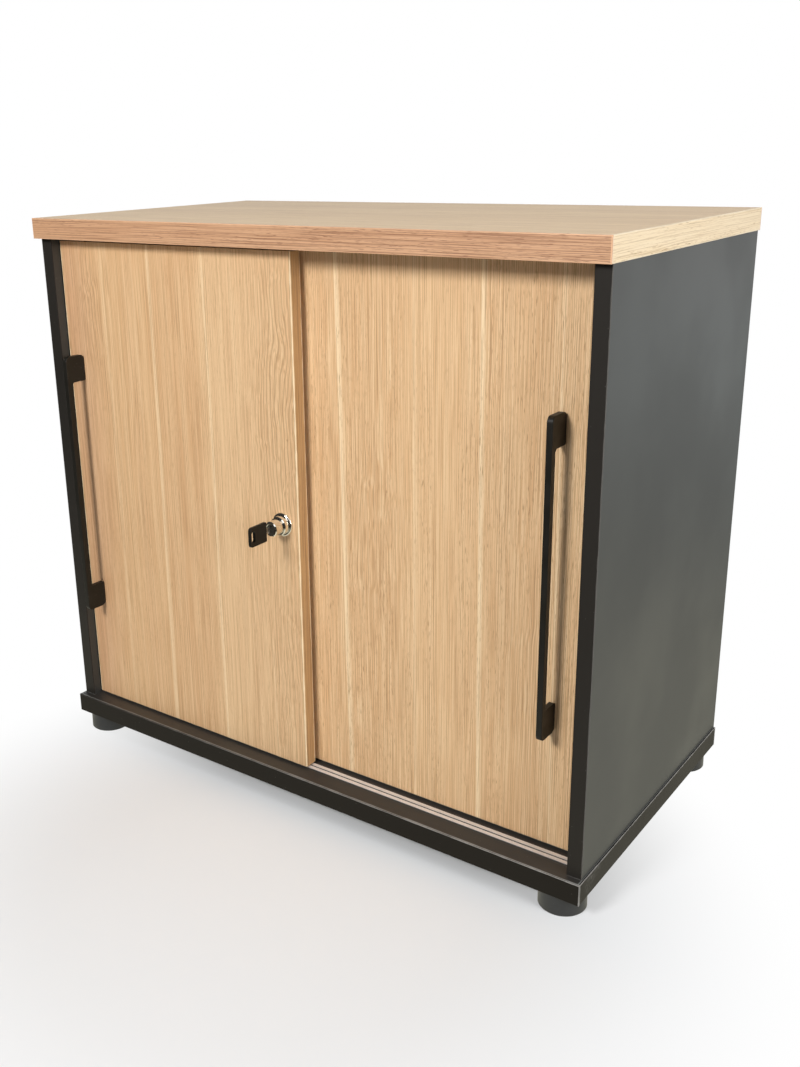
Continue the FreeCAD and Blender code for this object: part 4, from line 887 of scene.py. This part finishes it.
def dressMetals():
    dress(metalFinish("lockChrome", lockChrome, "Z"), "lock_rosette", "lock_barrel", "lock_push_cylinder")
    dress(metalFinish("nickelSteel", nickelSteel, "Y"), "lock_bolt", "lock_fixing_nut", "lock_spring",
          "lock_strike_bush", "key_blade")
    dress(metalFinish("plugSteel", plugSteel, "Y"), "lock_plug")
    dress(metalFinish("insertBrass", brass, "Z"), "foot_inserts")
    dress(metalFinish("zincSteel", zincSteel, "Z"), "shelf_pins", "track_screws", "cam_bolts",
          "front_handle_screws", "rear_handle_screws", "front_wheel_axles", "rear_wheel_axles")
    dress(metalFinish("castZinc", castZinc, "X"), "cam_housings")
    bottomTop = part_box("bottom_tracks")[1].z
    dress(metalFinish("bottomTrackAluminium", trackAluminium, "X", bottomTop), "bottom_tracks")
    dress(metalFinish("topTrackAluminium", paintedShadeTopAluminium, "X"), "top_tracks")


dressMetals()
print("credenza: metals dressed")

# threaded stems of the levelling feet
stemThread = {
    "core": 4.1 * mm,
    "crest": 5.0 * mm,
    "pitch": 1.5 * mm,
    "facets": 24,
    "rise": (0.2, 0.5),  # where a turn begins and ends to rise, as shares of the pitch
    "fall": (0.65, 0.95),
    "spare": 2,  # turns past the stem's ends, cut off again
    "below": 1.5,  # turns that start under the stem
    "weld": 0.01 * mm,
}


def finishPiece(name, mesh, material, body, slotName, *replaced):
    data = bpy.data.meshes.new(name)
    bmesh.ops.recalc_face_normals(mesh, faces=mesh.faces[:])
    mesh.to_mesh(data)
    mesh.free()
    piece = bpy.data.objects.new(name, data)
    scene.collection.objects.link(piece)
    data.materials.append(material)
    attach(piece, body)
    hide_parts(*replaced)


def threadOutline(size):  # one turn, as radius and share of the pitch
    core, crest = size["core"], size["crest"]
    foot, shoulder = size["rise"]
    brow, end = size["fall"]
    return ((core, 0.0), (core, foot), (crest, shoulder), (crest, brow), (core, end), (core, 1.0))


def threadedStem(node, material):
    low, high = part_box(node)
    middle = (low + high) / 2
    size = stemThread
    pitch = size["pitch"]
    turns = math.ceil((high.z - low.z) / pitch) + size["spare"]
    start = low.z - size["below"] * pitch
    mesh = bmesh.new()
    places = [(middle.x + r, middle.y, start + z * pitch) for r, z in threadOutline(size)]
    ring = [mesh.verts.new(place) for place in places]
    ends = [mesh.edges.new(pair) for pair in zip(ring, ring[1:])]
    bmesh.ops.spin(
        mesh,
        geom=ring + ends,
        cent=middle,
        axis=(0, 0, 1),
        angle=2 * math.pi * turns,
        dvec=(0, 0, pitch / size["facets"]),
        steps=turns * size["facets"],
    )
    bmesh.ops.remove_doubles(mesh, verts=mesh.verts[:], dist=size["weld"])
    for height, normal in ((low.z, (0, 0, -1)), (high.z, (0, 0, 1))):
        cut = {"plane_co": (0, 0, height), "plane_no": normal, "clear_outer": True}
        whole = mesh.verts[:] + mesh.edges[:] + mesh.faces[:]
        bmesh.ops.bisect_plane(mesh, geom=whole, **cut)
    bmesh.ops.holes_fill(mesh, edges=mesh.edges[:])
    finishPiece(f"{node}_thread", mesh, material, node, "zinc_steel", node)


def threadFeet():
    material = metalFinish("stemZinc", zincSteel, "Z")
    for node in endingIn("foot_stem"):
        threadedStem(node, material)


threadFeet()
print("credenza: levelling feet threaded")

# floor
floorLook = {
    "reach": 12.0,  # metres across
    "roughness": 0.9,
    "gloss": 0.1,
    "shown": (0.77, 0.78, 0.79),  # as it is seen
    "bounced": (0.42, 0.42, 0.42),  # as it lights the object
    "lift": 0.05,  # share of plain white in what is seen of it
    "centre": (0.08, -0.34, 0.0),
    "nearEdge": 0.22,  # where the floor begins to turn into the white behind it
    "farEdge": 0.60,
    "darkFrom": -0.45,  # painted reflection: glossy parts see the floor darker in front of the object
    "darkTo": -0.80,
    "mirroredFar": (0.95, 1.02, 1.00),
    "mirroredMiddle": (0.50, 0.51, 0.46),
    "mirroredNear": (0.84, 0.82, 0.66),
    "mirroredDark": (0.055, 0.050, 0.040),
    "nearToMiddle": (0.9, 1.7),
    "middleToFar": (1.9, 3.0),
}


def rays(tree):  # the light path, and whether the ray comes from a glossy or clear part
    path = put(tree, "ShaderNodeLightPath").outputs
    return path, calc(tree, "MAXIMUM", path["Is Glossy Ray"], path["Is Transmission Ray"])


def makeFloor():
    look = floorLook
    mesh = bmesh.new()
    bmesh.ops.create_grid(mesh, x_segments=1, y_segments=1, size=look["reach"] / 2)
    data = bpy.data.meshes.new("studioFloor")
    mesh.to_mesh(data)
    mesh.free()
    floor = bpy.data.objects.new("studioFloor", data)
    scene.collection.objects.link(floor)
    material, tree, shader, place = startMaterial("floorPaper", look)
    path, mirror = rays(tree)
    seen = calc(tree, "MAXIMUM", path["Is Camera Ray"], mirror)
    base = tint(tree, seen, look["bounced"], look["shown"])
    tree.links.new(base, shader.inputs["Base Color"])
    distance = measure(tree, "DISTANCE", place, look["centre"])
    white = fade(tree, distance, look["nearEdge"], look["farEdge"], look["lift"], 1.0)
    white = calc(tree, "MULTIPLY", white, path["Is Camera Ray"])
    share = calc(tree, "MAXIMUM", white, mirror)
    # painted reflection: what glossy parts see of the floor, warm near the object, grey further out,
    # white far off and dark in front
    outward = fade(tree, distance, *look["nearToMiddle"])
    mirrored = tint(tree, outward, look["mirroredNear"], look["mirroredMiddle"])
    outward = fade(tree, distance, *look["middleToFar"])
    mirrored = tint(tree, outward, mirrored, look["mirroredFar"])
    lit = fade(tree, axesOf(tree, place)["Y"], look["darkTo"], look["darkFrom"])
    mirrored = tint(tree, lit, look["mirroredDark"], mirrored)
    glowColour = tint(tree, mirror, (1.0, 1.0, 1.0), mirrored)
    glow = put(tree, "ShaderNodeEmission", {"Color": glowColour, "Strength": 1.0}).outputs[0]
    feeds = {0: share, 1: shader.outputs[0], 2: glow}
    blended = put(tree, "ShaderNodeMixShader", feeds).outputs[0]
    tree.links.new(blended, tree.nodes["Material Output"].inputs["Surface"])
    data.materials.append(material)


makeFloor()

# world and lamps
worldLight = {
    "ambient": 0.125,
    "front": 0.05,  # darker room behind the camera, as glossy parts reflect it
    "side": 1.0,
    "turn": 0.3,  # how far the bright side comes round to the right
    "frontToSide": (-0.1, 0.4),
    "windowFrom": (0.40, -0.63, 0.67),  # one bright window in that room
    "windowEdge": (0.950, 0.975),  # cosines
    "window": 1.6,
}


def makeWorld():
    look = worldLight
    world = bpy.data.worlds.new("studioWorld")
    scene.world = world
    world.use_nodes = True
    tree = world.node_tree
    tree.nodes.clear()
    direction = put(tree, "ShaderNodeTexCoord").outputs["Generated"]
    axes = axesOf(tree, direction)
    toBack = calc(tree, "MULTIPLY_ADD", axes["X"], look["turn"], axes["Y"])
    room = fade(tree, toBack, *look["frontToSide"], look["front"], look["side"])
    middle = tuple(Vector(look["windowFrom"]).normalized())
    window = measure(tree, "DOT_PRODUCT", direction, middle)
    window = fade(tree, window, *look["windowEdge"], 0.0, look["window"])
    room = calc(tree, "MAXIMUM", room, window)
    path, mirror = rays(tree)
    level = put(tree, "ShaderNodeMix", {0: mirror, 2: look["ambient"], 3: room}).outputs[0]
    level = put(tree, "ShaderNodeMix", {0: path["Is Camera Ray"], 2: level, 3: 1.0}).outputs[0]
    glow = put(tree, "ShaderNodeBackground", {"Color": (1, 1, 1), "Strength": level}).outputs[0]
    put(tree, "ShaderNodeOutputWorld", {"Surface": glow})


lamps = {
    "keyLamp": {
        "place": (-0.19, -2.43, 1.78),
        "aim": (0.0, -0.17, 0.38),
        "watts": 57.5,
        "size": 0.7,
    },
    "sideLamp": {
        "place": (2.6, -0.6, 1.3),
        "aim": (0.4, 0.0, 0.35),
        "watts": 52.0,
        "size": 1.5,
    },
    "topLamp": {
        "place": (0.0, 0.3, 2.8),
        "aim": (0.0, 0.0, 0.7),
        "watts": 5.5,
        "size": 2.0,
    },
}


def makeLamps():
    for name, lamp in lamps.items():
        data = bpy.data.lights.new(name, "AREA")
        data.shape = "DISK"
        data.size = lamp["size"]
        data.energy = lamp["watts"]
        light = bpy.data.objects.new(name, data)
        place = Vector(lamp["place"])
        turned = (Vector(lamp["aim"]) - place).to_track_quat("-Z", "Y").to_matrix().to_4x4()
        light.matrix_world = Matrix.Translation(place) @ turned
        scene.collection.objects.link(light)


makeWorld()
makeLamps()
print("credenza: floor, world and lamps placed")
